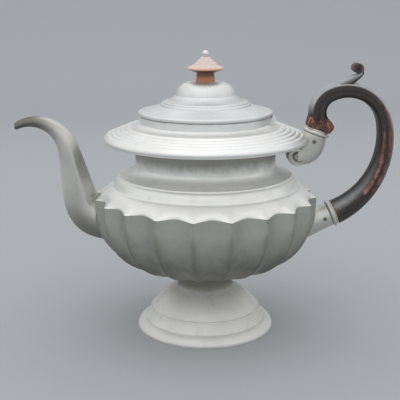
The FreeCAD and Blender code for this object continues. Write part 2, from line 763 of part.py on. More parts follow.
# Lid: a turned shell with a flat brim, a bead, a cove and a flat-topped dome
FLANGE = MOUTH + " - flange_clearance"
FLANGE_BORE = FLANGE + " - flange_wall"
lid = turned("lid", [
    ("stud_radius + pin_play", LID_TOP, None),
    ("dome_top_radius", LID_TOP, 74),
    ("dome_foot_radius - dome_step", BRIM + " + dome_foot_rise + dome_step", None),
    ("dome_foot_radius", BRIM + " + dome_foot_rise", -55),
    ("lid_cove_radius", BRIM + " + lid_cove_rise", 75),
    ("brim_inner_radius", BRIM + " + brim_rise", -7),
    (LID_EDGE + " - brim_bevel", BRIM + " + brim_edge + brim_bevel", 50),
    (LID_EDGE, BRIM + " + brim_edge", None),
    (LID_EDGE, BRIM, None),
    (FLANGE_BORE, BRIM, None),
    (FLANGE_BORE, BRIM + " + wall", None),
    ("brim_inner_radius - wall", BRIM + " + brim_rise - wall", None),
    ("dome_foot_radius - wall", BRIM + " + dome_foot_rise - wall", -66),
    ("dome_top_radius - wall", LID_INSIDE, None),
    ("stud_radius + pin_play", LID_INSIDE, None),
])

# Lid flange: the ring under the brim that centres the lid in the mouth
lid_flange = turned("lid_flange", [
    (FLANGE_BORE, BRIM, None),
    (FLANGE, BRIM, None),
    (FLANGE, BRIM + " - flange_height", None),
    (FLANGE_BORE, BRIM + " - flange_height", None),
])

# Hinge: two knuckles on the collar, one under the lid's brim and a headed pin through all three
HINGE = Vector(number(HINGE_X), 0, number(HINGE_Z))
ALONG = Vector(0, 1, 0)
body_knuckles = []
for side, start in (("front", -KNUCKLE_END), ("back", KNUCKLE_START)):
    knuckle = cylinder(side + "_knuckle", "knuckle_radius", "knuckle_length", HINGE + ALONG * start, ALONG)
    leaf = block(side + "_leaf", HINGE_X + less(NOTCH_X) + " - solder_gap", "knuckle_length",
                 HINGE_Z + less(COLLAR_TOP),
                 Vector(number(NOTCH_X + " + solder_gap"), start, number(COLLAR_TOP)))
    body_knuckles += [knuckle, leaf]
hinge_bore = cylinder("hinge_bore", "hinge_pin_radius + pin_play", RIM, HINGE - ALONG * KNUCKLE_END * 2,
                      ALONG)
body_hinge_leaf = cut("body_hinge_leaf", joined("body_leaf_blank", body_knuckles), hinge_bore)
lid_knuckle = cylinder("lid_knuckle", "knuckle_radius", "knuckle_length",
                       HINGE - ALONG * number("knuckle_length") / 2, ALONG)
lid_tab = block("lid_tab", "hinge_leaf_thickness", "knuckle_length", "hinge_drop",
                HINGE - Vector(number("hinge_leaf_thickness"), number("knuckle_length") / 2, 0))
lid_hinge_leaf = cut("lid_hinge_leaf", joined("lid_leaf_blank", [lid_knuckle, lid_tab]), hinge_bore)
pin_reach = number(PIN_LENGTH) / 2
pin_shank = cylinder("pin_shank", "hinge_pin_radius", PIN_LENGTH, HINGE - ALONG * pin_reach, ALONG)
pin_heads = [
    cylinder("front_pin_head", "hinge_pin_radius + hinge_pin_lip", "hinge_pin_head",
             HINGE - ALONG * (pin_reach + number("hinge_pin_head")), ALONG),
    cylinder("back_pin_head", "hinge_pin_radius + hinge_pin_lip", "hinge_pin_head", HINGE + ALONG * pin_reach,
             ALONG),
]
hinge_pin = joined("hinge_pin", [pin_shank] + pin_heads)

# Finial: a turned wooden umbrella on a short stem, ringed on top, drilled for the stud
RING_COUNT = int(number("cap_ring_count"))
cap_rings = []
for index in range(RING_COUNT, 0, -1):
    cap_rings.append(("cap_radius" + less(times(index, "cap_ring_width")),
                      CAP_EDGE + times(index, "cap_ring_rise"), 58))
finial = turned("finial", [
    ("stud_radius + pin_play", CAP_TOP, None),
    *cap_rings,
    ("cap_radius", CAP_EDGE, 96),
    ("cap_under_radius", LID_TOP + " + cap_under_rise", None),
    ("finial_waist_radius", LID_TOP + " + finial_waist_rise", -16),
    ("finial_stem_radius", LID_TOP, None),
    ("stud_radius + pin_play", LID_TOP, None),
])

# Stud: a metal bead on the finial with a rod down through the lid, held by a washer and a nut
STUD_END = LID_INSIDE + " - stud_tail"
finial_stud = turned("finial_stud", [
    ("", CAP_TOP + " + stud_bead_middle + stud_bead_radius", 90),
    ("stud_bead_radius", CAP_TOP + " + stud_bead_middle", None),
    ("stud_bead_foot", CAP_TOP, None),
    ("stud_radius", CAP_TOP, None),
    ("stud_radius", STUD_END, None),
    ("", STUD_END, None),
])
NUT_TOP = LID_INSIDE + " - washer_thickness"
finial_washer = turned("finial_washer", [
    ("stud_radius + pin_play", LID_INSIDE, None),
    ("washer_radius", LID_INSIDE, None),
    ("washer_radius", NUT_TOP, None),
    ("stud_radius + pin_play", NUT_TOP, None),
])
nut_blank = doc.addObject("Part::Prism", "nut_blank")
nut_blank.Polygon = 6
nut_blank.setExpression("Circumradius", linked("nut_across_flats") + " / sqrt(3)")
nut_blank.setExpression("Height", linked("nut_height"))
nut_bottom = Vector(0, 0, number(NUT_TOP + " - nut_height"))
nut_blank.Placement = Placement(nut_bottom, Rotation())
finial_nut = cut("finial_nut", nut_blank,
                 cylinder("nut_bore", "stud_radius + pin_play", "nut_height", nut_bottom, Vector(0, 0, 1)))

doc.recompute()
for item in doc.Objects:
    if "Invalid" in item.State or "Error" in item.State:
        raise RuntimeError("%s is not built: %s" % (item.Label, item.State))

os.makedirs("parts", exist_ok=True)
NODES = [foot, fluted_bowl, shoulder, collar, lid_seat_ring, spout, spout_strainer, upper_socket,
         lower_socket, handle, upper_handle_pin, lower_handle_pin, body_hinge_leaf, hinge_pin, lid,
         lid_flange, lid_hinge_leaf, finial, finial_stud, finial_washer, finial_nut]
for node in NODES:
    shape = node.Shape
    if shape.isNull() or not shape.isValid() or not shape.Solids:
        raise RuntimeError("%s has no valid solid" % node.Label)
    shape.exportStep("parts/%s.step" % node.Label)
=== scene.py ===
import bmesh
import bpy
import math
import numpy as np
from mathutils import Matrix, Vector


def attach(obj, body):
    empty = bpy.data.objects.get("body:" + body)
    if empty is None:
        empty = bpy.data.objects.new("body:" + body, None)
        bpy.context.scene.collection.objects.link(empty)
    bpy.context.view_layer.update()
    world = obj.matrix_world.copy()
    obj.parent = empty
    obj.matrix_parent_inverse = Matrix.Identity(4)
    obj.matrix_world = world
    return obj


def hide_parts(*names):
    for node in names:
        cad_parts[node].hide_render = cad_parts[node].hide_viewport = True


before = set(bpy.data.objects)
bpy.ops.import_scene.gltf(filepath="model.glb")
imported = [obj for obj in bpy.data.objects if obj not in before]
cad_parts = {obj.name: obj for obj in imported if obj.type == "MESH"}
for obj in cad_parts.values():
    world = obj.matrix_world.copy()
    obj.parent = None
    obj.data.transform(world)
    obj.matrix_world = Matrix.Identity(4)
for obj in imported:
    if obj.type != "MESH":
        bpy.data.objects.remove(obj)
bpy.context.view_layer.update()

# Foot: a hollow pedestal of cast tin alloy, skimmed on a lathe so that fine rings run round it.
# Its flange is soldered under the bowl, and the rounded band at the bottom rests on the table.
MM = 0.001
SHARP_CORNER = math.radians(14)


def towards(angle):
    """A step of length one at an angle in a plane."""
    return Vector((math.cos(angle), math.sin(angle)))


def drawn(rows, closed=True, edge=0.3, step=1.5):
    """Points of a turned outline in millimetres, from rows of radius, height and the bend to the next row.

    A bend is in degrees, above zero where the stretch swells outwards. Sharp corners are eased by an edge.
    """
    points = []
    corners = set()
    stretches = len(rows) if closed else len(rows) - 1
    for index in range(stretches):
        first = Vector(rows[index][:2])
        last = Vector(rows[(index + 1) % len(rows)][:2])
        bend = rows[index][2]
        chord = last - first
        corners.add(len(points))
        count = max(2, int(chord.length / step), int(abs(bend) / 8))
        if not bend:
            points += [first + chord * (part / count) for part in range(count)]
            continue
        half = math.radians(abs(bend)) / 2
        side = Vector((-chord.y, chord.x)).normalized() * math.copysign(1, bend)
        reach = chord.length / 2 / math.sin(half)
        centre = (first + last) / 2 - side * reach * math.cos(half)
        begin = math.atan2(first.y - centre.y, first.x - centre.x)
        for part in range(count):
            angle = begin - math.copysign(2 * half, bend) * part / count
            points.append(centre + towards(angle) * reach)
    if not closed:
        points.append(Vector(rows[-1][:2]))
        corners.discard(0)
    eased = []
    for index, point in enumerate(points):
        before = points[index - 1] - point
        after = points[(index + 1) % len(points)] - point
        if index not in corners or before.angle(-after) < SHARP_CORNER:
            eased.append(point)
            continue
        cut = min(edge, before.length * 0.45, after.length * 0.45)
        near = point + before.normalized() * cut
        far = point + after.normalized() * cut
        for share in (0.0, 0.25, 0.5, 0.75, 1.0):
            eased.append(near.lerp(point, share).lerp(point.lerp(far, share), share))
    if closed:
        eased.append(eased[0])
    return eased


def sum_of(tree, operation, *values):
    """A Math node whose inputs are sockets or plain numbers."""
    node = tree.nodes.new("ShaderNodeMath")
    node.operation = operation
    for socket, value in zip(node.inputs, values):
        if isinstance(value, bpy.types.NodeSocket):
            tree.links.new(value, socket)
        else:
            socket.default_value = value
    return node.outputs[0]


SEAM_GAP = 2e-6
RIDGE_CROWDING = 0.6


def lathe_tree():
    """Nodes that spin an outline into a shell, fluted by the depth and the lift stored on it."""
    tree = bpy.data.node_groups.new("fluting_lathe", "GeometryNodeTree")
    tree.interface.new_socket(name="Outline", in_out="INPUT", socket_type="NodeSocketGeometry")
    for label, kind in (("Steps Round", "NodeSocketInt"), ("Flutes", "NodeSocketInt"),
                        ("First Ridge", "NodeSocketFloat"), ("Ridge Softness", "NodeSocketFloat"),
                        ("Finish", "NodeSocketMaterial")):
        tree.interface.new_socket(name=label, in_out="INPUT", socket_type=kind)
    tree.interface.new_socket(name="Shell", in_out="OUTPUT", socket_type="NodeSocketGeometry")
    given = tree.nodes.new("NodeGroupInput").outputs

    def sampled(kind, value, row):
        node = tree.nodes.new("GeometryNodeSampleIndex")
        node.data_type = kind
        tree.links.new(given["Outline"], node.inputs["Geometry"])
        tree.links.new(value, node.inputs["Value"])
        tree.links.new(row, node.inputs["Index"])
        return node.outputs[0]

    rows = tree.nodes.new("GeometryNodeAttributeDomainSize")
    tree.links.new(given["Outline"], rows.inputs[0])
    grid = tree.nodes.new("GeometryNodeMeshGrid")
    tree.links.new(sum_of(tree, "ADD", given["Steps Round"], 1.0), grid.inputs["Vertices X"])
    tree.links.new(rows.outputs["Point Count"], grid.inputs["Vertices Y"])
    index = tree.nodes.new("GeometryNodeInputIndex").outputs[0]
    row = sum_of(tree, "MODULO", index, rows.outputs["Point Count"])
    column = sum_of(tree, "FLOOR", sum_of(tree, "DIVIDE", index, rows.outputs["Point Count"]))
    place = tree.nodes.new("ShaderNodeSeparateXYZ")
    position = tree.nodes.new("GeometryNodeInputPosition").outputs[0]
    tree.links.new(sampled("FLOAT_VECTOR", position, row), place.inputs[0])

    def stored(name):
        node = tree.nodes.new("GeometryNodeInputNamedAttribute")
        node.data_type = "FLOAT"
        node.inputs["Name"].default_value = name
        return sampled("FLOAT", node.outputs["Attribute"], row)

    # The steps round crowd together at the ridges, where the shape turns most
    turns = sum_of(tree, "DIVIDE", column, given["Steps Round"])
    flutes = sum_of(tree, "MULTIPLY", turns, given["Flutes"])
    whole = sum_of(tree, "FLOOR", flutes)
    across = sum_of(tree, "SUBTRACT", flutes, whole)
    swing = sum_of(tree, "SINE", sum_of(tree, "MULTIPLY", across, 2 * math.pi))
    crowding = sum_of(tree, "MULTIPLY", swing, RIDGE_CROWDING / (2 * math.pi))
    across = sum_of(tree, "SUBTRACT", across, crowding)
    angle = sum_of(tree, "DIVIDE", sum_of(tree, "ADD", whole, across), given["Flutes"])
    angle = sum_of(tree, "MULTIPLY_ADD", angle, 2 * math.pi, given["First Ridge"])
    ridge = sum_of(tree, "MINIMUM", across, sum_of(tree, "SUBTRACT", 1.0, across))
    soft = given["Ridge Softness"]
    ridge = sum_of(tree, "SQRT", sum_of(tree, "ADD", sum_of(tree, "MULTIPLY", ridge, ridge),
                                        sum_of(tree, "MULTIPLY", soft, soft)))
    ridge = sum_of(tree, "SUBTRACT", ridge, soft)
    bow = sum_of(tree, "MULTIPLY", sum_of(tree, "MULTIPLY", ridge, sum_of(tree, "SUBTRACT", 1.0, ridge)), 4.0)
    hollow = sum_of(tree, "MULTIPLY", stored("flute_depth"), bow)
    radius = sum_of(tree, "SUBTRACT", place.outputs["X"], hollow)
    height = sum_of(tree, "MULTIPLY_ADD", stored("flute_lift"), bow, place.outputs["Z"])
    spun = tree.nodes.new("ShaderNodeCombineXYZ")
    tree.links.new(sum_of(tree, "MULTIPLY", radius, sum_of(tree, "COSINE", angle)), spun.inputs["X"])
    tree.links.new(sum_of(tree, "MULTIPLY", radius, sum_of(tree, "SINE", angle)), spun.inputs["Y"])
    tree.links.new(height, spun.inputs["Z"])

    shell = grid.outputs["Mesh"]
    for kind, inputs in (("GeometryNodeSetPosition", {"Position": spun.outputs[0]}),
                         ("GeometryNodeMergeByDistance", {"Distance": SEAM_GAP}),
                         ("GeometryNodeSetShadeSmooth", {}),
                         ("GeometryNodeRealizeInstances", {}),
                         ("GeometryNodeSetMaterial", {"Material": given["Finish"]})):
        node = tree.nodes.new(kind)
        tree.links.new(shell, node.inputs[0])
        for name, value in inputs.items():
            if isinstance(value, bpy.types.NodeSocket):
                tree.links.new(value, node.inputs[name])
            else:
                node.inputs[name].default_value = value
        shell = node.outputs[0]
    tree.links.new(shell, tree.nodes.new("NodeGroupOutput").inputs[0])
    return tree


LATHE = lathe_tree()


def store(mesh, name, values):
    """Stores a value for each point of a mesh."""
    mesh.attributes.new(name, "FLOAT", "POINT").data.foreach_set("value", values)


def mark_wear(mesh, reach, depth):
    """Stores on each point how it lies to the skin round it: -1 on a proud edge, 1 deep in a hollow."""
    count = len(mesh.vertices)
    places = np.empty(count * 3)
    mesh.vertices.foreach_get("co", places)
    places = places.reshape(-1, 3)
    normals = np.empty(count * 3)
    mesh.vertices.foreach_get("normal", normals)
    pairs = np.empty(len(mesh.edges) * 2, int)
    mesh.edges.foreach_get("vertices", pairs)
    pairs = pairs.reshape(-1, 2)
    degree = np.bincount(pairs.ravel(), minlength=count)[:, None]
    smooth = places.copy()
    for turn in range(reach):
        total = np.empty_like(smooth)
        for axis in range(3):
            total[:, axis] = (np.bincount(pairs[:, 0], smooth[pairs[:, 1], axis], count)
                              + np.bincount(pairs[:, 1], smooth[pairs[:, 0], axis], count))
        smooth = total / degree
    under = ((smooth - places) * normals.reshape(-1, 3)).sum(1) / depth
    store(mesh, "wear", np.clip(under, -1, 1).astype(np.float32))


def face_out(mesh):
    """Turns the faces of a closed skin outwards and shades them smooth."""
    shell = bmesh.new()
    shell.from_mesh(mesh)
    bmesh.ops.recalc_face_normals(shell, faces=shell.faces)
    for face in shell.faces:
        face.smooth = True
    shell.to_mesh(mesh)
    shell.free()


def finished(piece, body, slot, *nodes):
    """Hands a finished piece to its body, in place of the solids it stands for."""
    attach(piece, body)
    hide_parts(*nodes)


def turned(name, points, finish, depths=None, lifts=None, steps=192, flutes=1, first_ridge=0.0,
           softness=0.02):
    """A piece spun from an outline in millimetres, baked to a plain mesh with its wear marked on it."""
    mesh = bpy.data.meshes.new(name + "_outline")
    mesh.from_pydata([(point[0] * MM, 0, point[1] * MM) for point in points],
                     [(index, index + 1) for index in range(len(points) - 1)], [])
    for label, values in (("flute_depth", depths), ("flute_lift", lifts)):
        store(mesh, label, [value * MM for value in values or [0.0] * len(points)])
    piece = bpy.data.objects.new(name, mesh)
    bpy.context.scene.collection.objects.link(piece)
    modifier = piece.modifiers.new("lathe", "NODES")
    modifier.node_group = LATHE
    sockets = {item.name: item.identifier for item in LATHE.interface.items_tree if item.in_out == "INPUT"}
    for label, value in (("Steps Round", steps), ("Flutes", flutes), ("First Ridge", first_ridge),
                         ("Ridge Softness", softness), ("Finish", finish)):
        modifier[sockets[label]] = value
    bpy.context.view_layer.update()
    baked = bpy.data.meshes.new_from_object(piece.evaluated_get(bpy.context.evaluated_depsgraph_get()))
    piece.modifiers.clear()
    piece.data = baked
    face_out(baked)
    mark_wear(baked, reach=5, depth=0.30 * MM)
    return piece


def noise(tree, vector, scale, detail, rough=0.55):
    """The value of a Noise Texture read at a vector."""
    node = tree.nodes.new("ShaderNodeTexNoise")
    node.inputs["Scale"].default_value = scale
    node.inputs["Detail"].default_value = detail
    node.inputs["Roughness"].default_value = rough
    tree.links.new(vector, node.inputs["Vector"])
    return node.outputs["Fac"]


def eased(tree, value, low, high):
    """A value brought from a range, low to high, to 0 to 1, with soft ends."""
    node = tree.nodes.new("ShaderNodeMapRange")
    node.interpolation_type = "SMOOTHSTEP"
    tree.links.new(value, node.inputs["Value"])
    node.inputs["From Min"].default_value = low
    node.inputs["From Max"].default_value = high
    return node.outputs["Result"]


def blended(tree, share, under, over):
    """A colour laid over another by a share. A colour is a socket or three numbers."""
    node = tree.nodes.new("ShaderNodeMix")
    node.data_type = "RGBA"
    node.clamp_factor = True
    tree.links.new(share, node.inputs["Factor"])
    for socket, colour in ((node.inputs[6], under), (node.inputs[7], over)):
        if isinstance(colour, bpy.types.NodeSocket):
            tree.links.new(colour, socket)
        else:
            socket.default_value = (*colour, 1.0)
    return node.outputs[2]


def washed(tree, colour, *layers):
    """Tones laid over a colour in turn, each layer a share, how strong it is and its tone."""
    for share, strength, tone in layers:
        colour = blended(tree, sum_of(tree, "MULTIPLY", share, strength), colour, tone)
    return colour


def attribute(tree, name):
    """The value of a piece's own attribute."""
    node = tree.nodes.new("ShaderNodeAttribute")
    node.attribute_name = name
    return node.outputs["Fac"]


def stretched(tree, vector, scale):
    """A vector scaled along its three axes."""
    node = tree.nodes.new("ShaderNodeMapping")
    node.inputs["Scale"].default_value = scale
    tree.links.new(vector, node.inputs["Vector"])
    return node.outputs[0]


def bumped(tree, shader, height, strength, distance):
    """Raises a shader's surface by a height."""
    node = tree.nodes.new("ShaderNodeBump")
    node.inputs["Strength"].default_value = strength
    node.inputs["Distance"].default_value = distance
    tree.links.new(height, node.inputs["Height"])
    tree.links.new(node.outputs[0], shader.inputs["Normal"])


def new_finish(name):
    """A new material, its nodes, its shader and the place on the piece that its patterns read."""
    material = bpy.data.materials.new(name)
    material.use_nodes = True
    tree = material.node_tree
    place = tree.nodes.new("ShaderNodeTexCoord").outputs["Object"]
    return material, tree, tree.nodes["Principled BSDF"], place


def pewter(name, bright, dull, tarnish, lathe_marks, painted_shade=(), rubbed=(0.78, 0.775, 0.745), dirt=0.55,
           matte=0.46, metal=1.0):
    """Old tin alloy: a satin grey, dulled in clouds, stained, rubbed on its edges, with dirt in its hollows.

    Painted shade darkens bands between pairs of heights in metres, from the first, unshaded, to the second,
    fully shaded.
    Rubbed is the tone of its edges, dirt the share of it in hollows, matte its roughness.
    Metal is the share of clean metal left by a skin of oxide.
    """
    material, tree, shader, place = new_finish(name)
    shader.inputs["Metallic"].default_value = metal
    parts = tree.nodes.new("ShaderNodeSeparateXYZ")
    tree.links.new(place, parts.inputs[0])
    squares = [sum_of(tree, "MULTIPLY", part, part) for part in parts.outputs[:2]]
    across = sum_of(tree, "SQRT", sum_of(tree, "ADD", *squares))
    rings = tree.nodes.new("ShaderNodeCombineXYZ")
    tree.links.new(across, rings.inputs["X"])
    tree.links.new(parts.outputs[2], rings.inputs["Z"])
    clouds = noise(tree, place, 34, 3)
    stains = noise(tree, place, 95, 8, 0.66)
    streaks = noise(tree, stretched(tree, place, (120, 120, 9)), 1.0, 4)
    tooling = noise(tree, rings.outputs[0], 1500, 2)
    scratches = noise(tree, stretched(tree, place, (1300, 260, 420)), 1.0, 4, 0.6)
    wear = attribute(tree, "wear")
    hollow = eased(tree, wear, 0.22, 0.95)
    edge = eased(tree, wear, -0.15, -0.9)
    dulled = eased(tree, clouds, 0.35, 0.68)
    stained = eased(tree, sum_of(tree, "MULTIPLY_ADD", streaks, 0.5, stains), 0.72, 1.05)
    stained = sum_of(tree, "MULTIPLY", stained, tarnish)
    scuffed = eased(tree, scratches, 0.58, 0.80)
    colour = blended(tree, dulled, bright, dull)
    # The last layer darkens a piece where it stores tarnish and painted shade on its points.
    colour = washed(tree, colour, (stained, 0.7, (0.33, 0.31, 0.255)), (hollow, dirt, (0.24, 0.23, 0.19)),
                    (edge, 0.5, rubbed), (scuffed, 0.16, (0.80, 0.80, 0.78)),
                    (attribute(tree, "tarnish_and_shade"), 1.0, (0.14, 0.135, 0.11)))
    # Bands of painted shade between the given heights, standing for shadow falling on the piece.
    for clean, shaded in painted_shade:
        ragged = sum_of(tree, "SUBTRACT", stains, 0.5)
        ragged = sum_of(tree, "MULTIPLY_ADD", ragged, (shaded - clean) * 0.7, parts.outputs[2])
        colour = washed(tree, colour, (eased(tree, ragged, clean, shaded), 0.8, (0.17, 0.165, 0.13)))
    tree.links.new(colour, shader.inputs["Base Color"])
    rough = sum_of(tree, "MULTIPLY_ADD", dulled, 0.07, matte)
    rough = sum_of(tree, "MULTIPLY_ADD", stained, 0.12, rough)
    tree.links.new(sum_of(tree, "MULTIPLY_ADD", scuffed, -0.10, rough), shader.inputs["Roughness"])
    height = sum_of(tree, "MULTIPLY_ADD", tooling, lathe_marks, sum_of(tree, "MULTIPLY", clouds, 1.6))
    height = sum_of(tree, "MULTIPLY_ADD", scratches, 0.2, sum_of(tree, "MULTIPLY_ADD", stains, 0.5, height))
    bumped(tree, shader, height, 0.30, 0.0005)
    return material


# Two bands of painted shadow darken the foot's waist just under the bowl.
FOOT_PEWTER = pewter("foot_pewter", (0.76, 0.755, 0.725), (0.70, 0.69, 0.65), 0.45, 0.4,
                     [(0.0322, 0.0355), (0.0340, 0.0385)], dirt=0.3, matte=0.5, metal=0.25)
foot = turned("foot", drawn([
    (30.0, 48.5, -62), (21.0, 41.0, -6), (21.2, 36.4, -50), (23.9, 32.3, 32), (41.9, 16.9, 130),
    (43.0, 15.6, -22), (46.4, 7.9, 0), (47.0, 7.9, 62), (53.2, 2.2, 50), (52.4, 0.0, 0), (48.4, 0.0, 0),
    (45.7, 6.6, 0), (41.7, 14.3, -34), (20.6, 32.0, 8), (19.7, 41.0, 62), (28.7, 48.5, 0)]), FOOT_PEWTER)
finished(foot, "pot", "pewter", "foot")

# Fluted bowl: raised in sheet tin alloy, with twenty hollow flutes that meet in ridges.
# The flutes die out at the floor. It is soldered to the foot's flange below and to the ledge above.
FLUTE_COUNT = 20
FLUTE_DEPTH = 4.4
FLUTE_LIFT = 1.0
FLUTE_FADE = 22
FIRST_RIDGE = math.radians(9 - 90)
HALF_PITCH = math.pi / FLUTE_COUNT
STEPS_PER_FLUTE = 26
FLUTED = {"steps": FLUTE_COUNT * STEPS_PER_FLUTE, "flutes": FLUTE_COUNT, "first_ridge": FIRST_RIDGE,
          "softness": 0.045}
BOWL_FLOOR = 48.5
BOWL_BELLY = 95.0
BOWL_STEPS = 32
FLOOR_RADIUS = 30.0
FLOOR_MIDDLE = 15.0
BELLY_SWELL = 55.0
BELLY_LEAN = 0.2
LEDGE_HEIGHT = 105.6
RIDGE_RADIUS = 85.2
WALL = 1.3


def bowl_outline(inset, lift):
    """The bowl's outline at a ridge from floor to ledge, with its flutes' depth and lift at each point."""
    points = []
    depths = []
    lifts = [0.0] * (BOWL_STEPS + 1)
    for part in range(BOWL_STEPS + 1):
        turn = math.radians(90 - 90 * part / BOWL_STEPS)
        radius = FLOOR_RADIUS + (BELLY_SWELL - inset) * math.cos(turn)
        points.append((radius, BOWL_BELLY - (BOWL_BELLY - BOWL_FLOOR - lift) * math.sin(turn)))
        fade = min(1.0, part / BOWL_STEPS * 90 / FLUTE_FADE)
        depths.append(fade * (FLUTE_DEPTH * radius / RIDGE_RADIUS + radius * (1 - math.cos(HALF_PITCH))))
    for share in (0.15, 0.3, 0.45, 0.6, 0.75, 0.87, 0.95, 0.985, 1.0):
        radius = FLOOR_RADIUS + BELLY_SWELL + BELLY_LEAN * share - inset
        points.append((radius, BOWL_BELLY + (LEDGE_HEIGHT - BOWL_BELLY) * share))
        depths.append(FLUTE_DEPTH + radius * (1 - math.cos(HALF_PITCH)))
        lifts.append(FLUTE_LIFT * share)
    return points, depths, lifts


outer, outer_depths, outer_lifts = bowl_outline(0.0, 0.0)
inner, inner_depths, inner_lifts = bowl_outline(WALL, WALL)
# The bowl's pewter is toned much darker than the shoulder's, partly as tarnish and partly as painted shade on
# its sides under the ledge, and a band of painted shade darkens it towards the bottom; its edge tone is dark,
# so the ridges show as thin dark lines.
BOWL_PEWTER = pewter("bowl_pewter", (0.48, 0.485, 0.445), (0.44, 0.44, 0.40), 0.35, 0.1, [(0.092, 0.048)],
                     (0.22, 0.205, 0.16), 0.0)
bowl_rows = [(0.0, BOWL_FLOOR), (FLOOR_MIDDLE, BOWL_FLOOR), *outer, *inner[::-1],
             (FLOOR_MIDDLE, BOWL_FLOOR + WALL), (0.0, BOWL_FLOOR + WALL)]
bowl = turned("fluted_bowl", bowl_rows, BOWL_PEWTER, [0.0, 0.0, *outer_depths, *inner_depths[::-1], 0.0, 0.0],
              [0.0, 0.0, *outer_lifts, *inner_lifts[::-1], 0.0, 0.0], **FLUTED)
finished(bowl, "pot", "pewter", "fluted_bowl")

# Shoulder: the scalloped ledge over the flutes and, above its ring, the turned band, the step and the neck.
# It is spun in sheet tin alloy and soldered along the ledge's edge to the bowl.
LEDGE_RUN = 12.8
LEDGE_RISE = 8.8
LEDGE_SHARES = (0.0, 0.012, 0.04, 0.1, 0.2, 0.35, 0.5, 0.65, 0.8, 0.92, 1.0)
SCALLOP_FADE = 3.2
ledge = [(RIDGE_RADIUS - LEDGE_RUN * share, LEDGE_HEIGHT + LEDGE_RISE * share) for share in LEDGE_SHARES]
above = drawn([
    (72.4, 114.4, 50), (70.4, 115.6, 0), (69.8, 118.0, -52), (66.2, 122.4, -120), (65.0, 123.5, 8),
    (61.4, 124.3, 62), (53.6, 130.6, 0), (53.6, 158.2, 0), (52.3, 158.2, 0), (52.3, 130.1, -62),
    (60.6, 123.1, 0), (63.7, 122.2, 0), (64.9, 121.1, -40), (68.5, 116.8, 0), (71.1, 114.4, 0)], False)
under = [(point[0] - WALL, point[1]) for point in ledge[::-1]]
scallop = FLUTE_DEPTH + RIDGE_RADIUS * (1 - math.cos(HALF_PITCH))
scallops = [scallop * (1 - share) ** SCALLOP_FADE for share in LEDGE_SHARES]
raised = [FLUTE_LIFT * (1 - share) ** SCALLOP_FADE for share in LEDGE_SHARES]
level = [0.0] * len(above)
# A band of painted shadow darkens the top of the neck under the collar.
SHOULDER_PEWTER = pewter("shoulder_pewter", (0.90, 0.90, 0.88), (0.87, 0.865, 0.84), 0.2, 0.25,
                         [(0.1290, 0.1405)], dirt=0.0, matte=0.38, metal=0.5)
shoulder = turned("shoulder", [*ledge, *above, *under, ledge[0]], SHOULDER_PEWTER,
                  [*scallops, *level, *scallops[::-1], scallops[0]],
                  [*raised, *level, *raised[::-1], raised[0]], **FLUTED)
finished(shoulder, "pot", "pewter", "shoulder")

# Collar: a wide flared gallery cast in one ring and turned with five reeds down to a rounded rim.
# It is soldered on top of the neck and carries the upright band that the lid sits on.


def refinish(finish, *names):
    """Gives solids that show as they are a new finish."""
    for name in names:
        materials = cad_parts[name].data.materials
        materials.clear()
        materials.append(finish)


# A thin band of painted shadow darkens the top of the lid's seat ring, just under the lid's brim.
COLLAR_PEWTER = pewter("collar_pewter", (0.87, 0.87, 0.86), (0.83, 0.83, 0.815), 0.15, 0.2,
                       [(0.1672, 0.1688)], dirt=0.4)
reeds = [(58.0 + 3.56 * index, 160.0 - 1.42 * index, 75) for index in range(5)]
collar = turned("collar", drawn([
    (45.5, 163.0, 0), (50.0, 163.0, -62), *reeds, (75.8, 152.9, 50), (77.2, 150.9, 90), (75.0, 148.1, 0),
    (73.2, 148.2, 0), (58.0, 158.1, 0), (54.9, 158.2, 0), (45.5, 158.2, 0)], step=1.0), COLLAR_PEWTER,
    steps=256)
finished(collar, "pot", "pewter", "collar")
refinish(COLLAR_PEWTER, "lid_seat_ring")

# Spout: a swan neck of tin alloy made in two halves, with arrises up its lower part that die out at the bend.
# It is soldered over the port on the spout side of the bowl, and its lip is cut slanting.


def stepped(place, angle, amount, sweep, way):
    """The place and heading after going some way along one stretch of a path."""
    if not sweep:
        return place + towards(angle) * way, angle
    side = math.copysign(1, sweep)
    centre = place + Vector((-math.sin(angle), math.cos(angle))) * side * amount
    angle += side * way / amount
    return centre - Vector((-math.sin(angle), math.cos(angle))) * side * amount, angle


def path(start, heading, stretches):
    """A path in the plane of spout and handle, as a function of the way gone, and its length in millimetres.

    A stretch is a length and 0, or a bend's radius and its sweep in degrees, above zero to the left.
    """
    legs = []
    place, angle, total = Vector(start), math.radians(heading), 0.0
    for amount, sweep in stretches:
        legs.append((total, place, angle, amount, sweep))
        length = amount * math.radians(abs(sweep)) if sweep else amount
        place, angle = stepped(place, angle, amount, sweep, length)
        total += length

    def at(way):
        begin, *leg = [leg for leg in legs if leg[0] <= max(way, 0.0)][-1]
        return stepped(*leg, way - begin)

    return at, total


def off_path(place, heading, up, across):
    """A place beside a path: up to the left of its heading, and across the plane it lies in."""
    return Vector((place.x - math.sin(heading) * up, across, place.y + math.cos(heading) * up))


def pot_radius(height, angle):
    """The outside radius of the bowl and ledge at a height in millimetres and an angle round the axis."""
    rise = min(max((height - LEDGE_HEIGHT) / LEDGE_RISE, 0.0), 1.0)
    if height < BOWL_BELLY:
        drop = min((BOWL_BELLY - height) / (BOWL_BELLY - BOWL_FLOOR), 1.0)
        radius = FLOOR_RADIUS + BELLY_SWELL * math.sqrt(1 - drop * drop)
    else:
        radius = RIDGE_RADIUS - LEDGE_RUN * rise
    depth = (FLUTE_DEPTH * radius / RIDGE_RADIUS + radius * (1 - math.cos(HALF_PITCH))) * (1 - rise)
    across = (angle - FIRST_RIDGE) / (2 * math.pi) * FLUTE_COUNT % 1.0
    return radius - depth * 4 * across * (1 - across)


def outside(place):
    """Whether a place in millimetres is clear of the bowl and ledge."""
    return math.hypot(place.x, place.y) > pot_radius(place.z, math.atan2(place.y, place.x))


def crossing(test, low, high):
    """Where a test turns true between two values."""
    for turn in range(24):
        middle = (low + high) / 2
        low, high = (low, middle) if test(middle) else (middle, high)
    return high


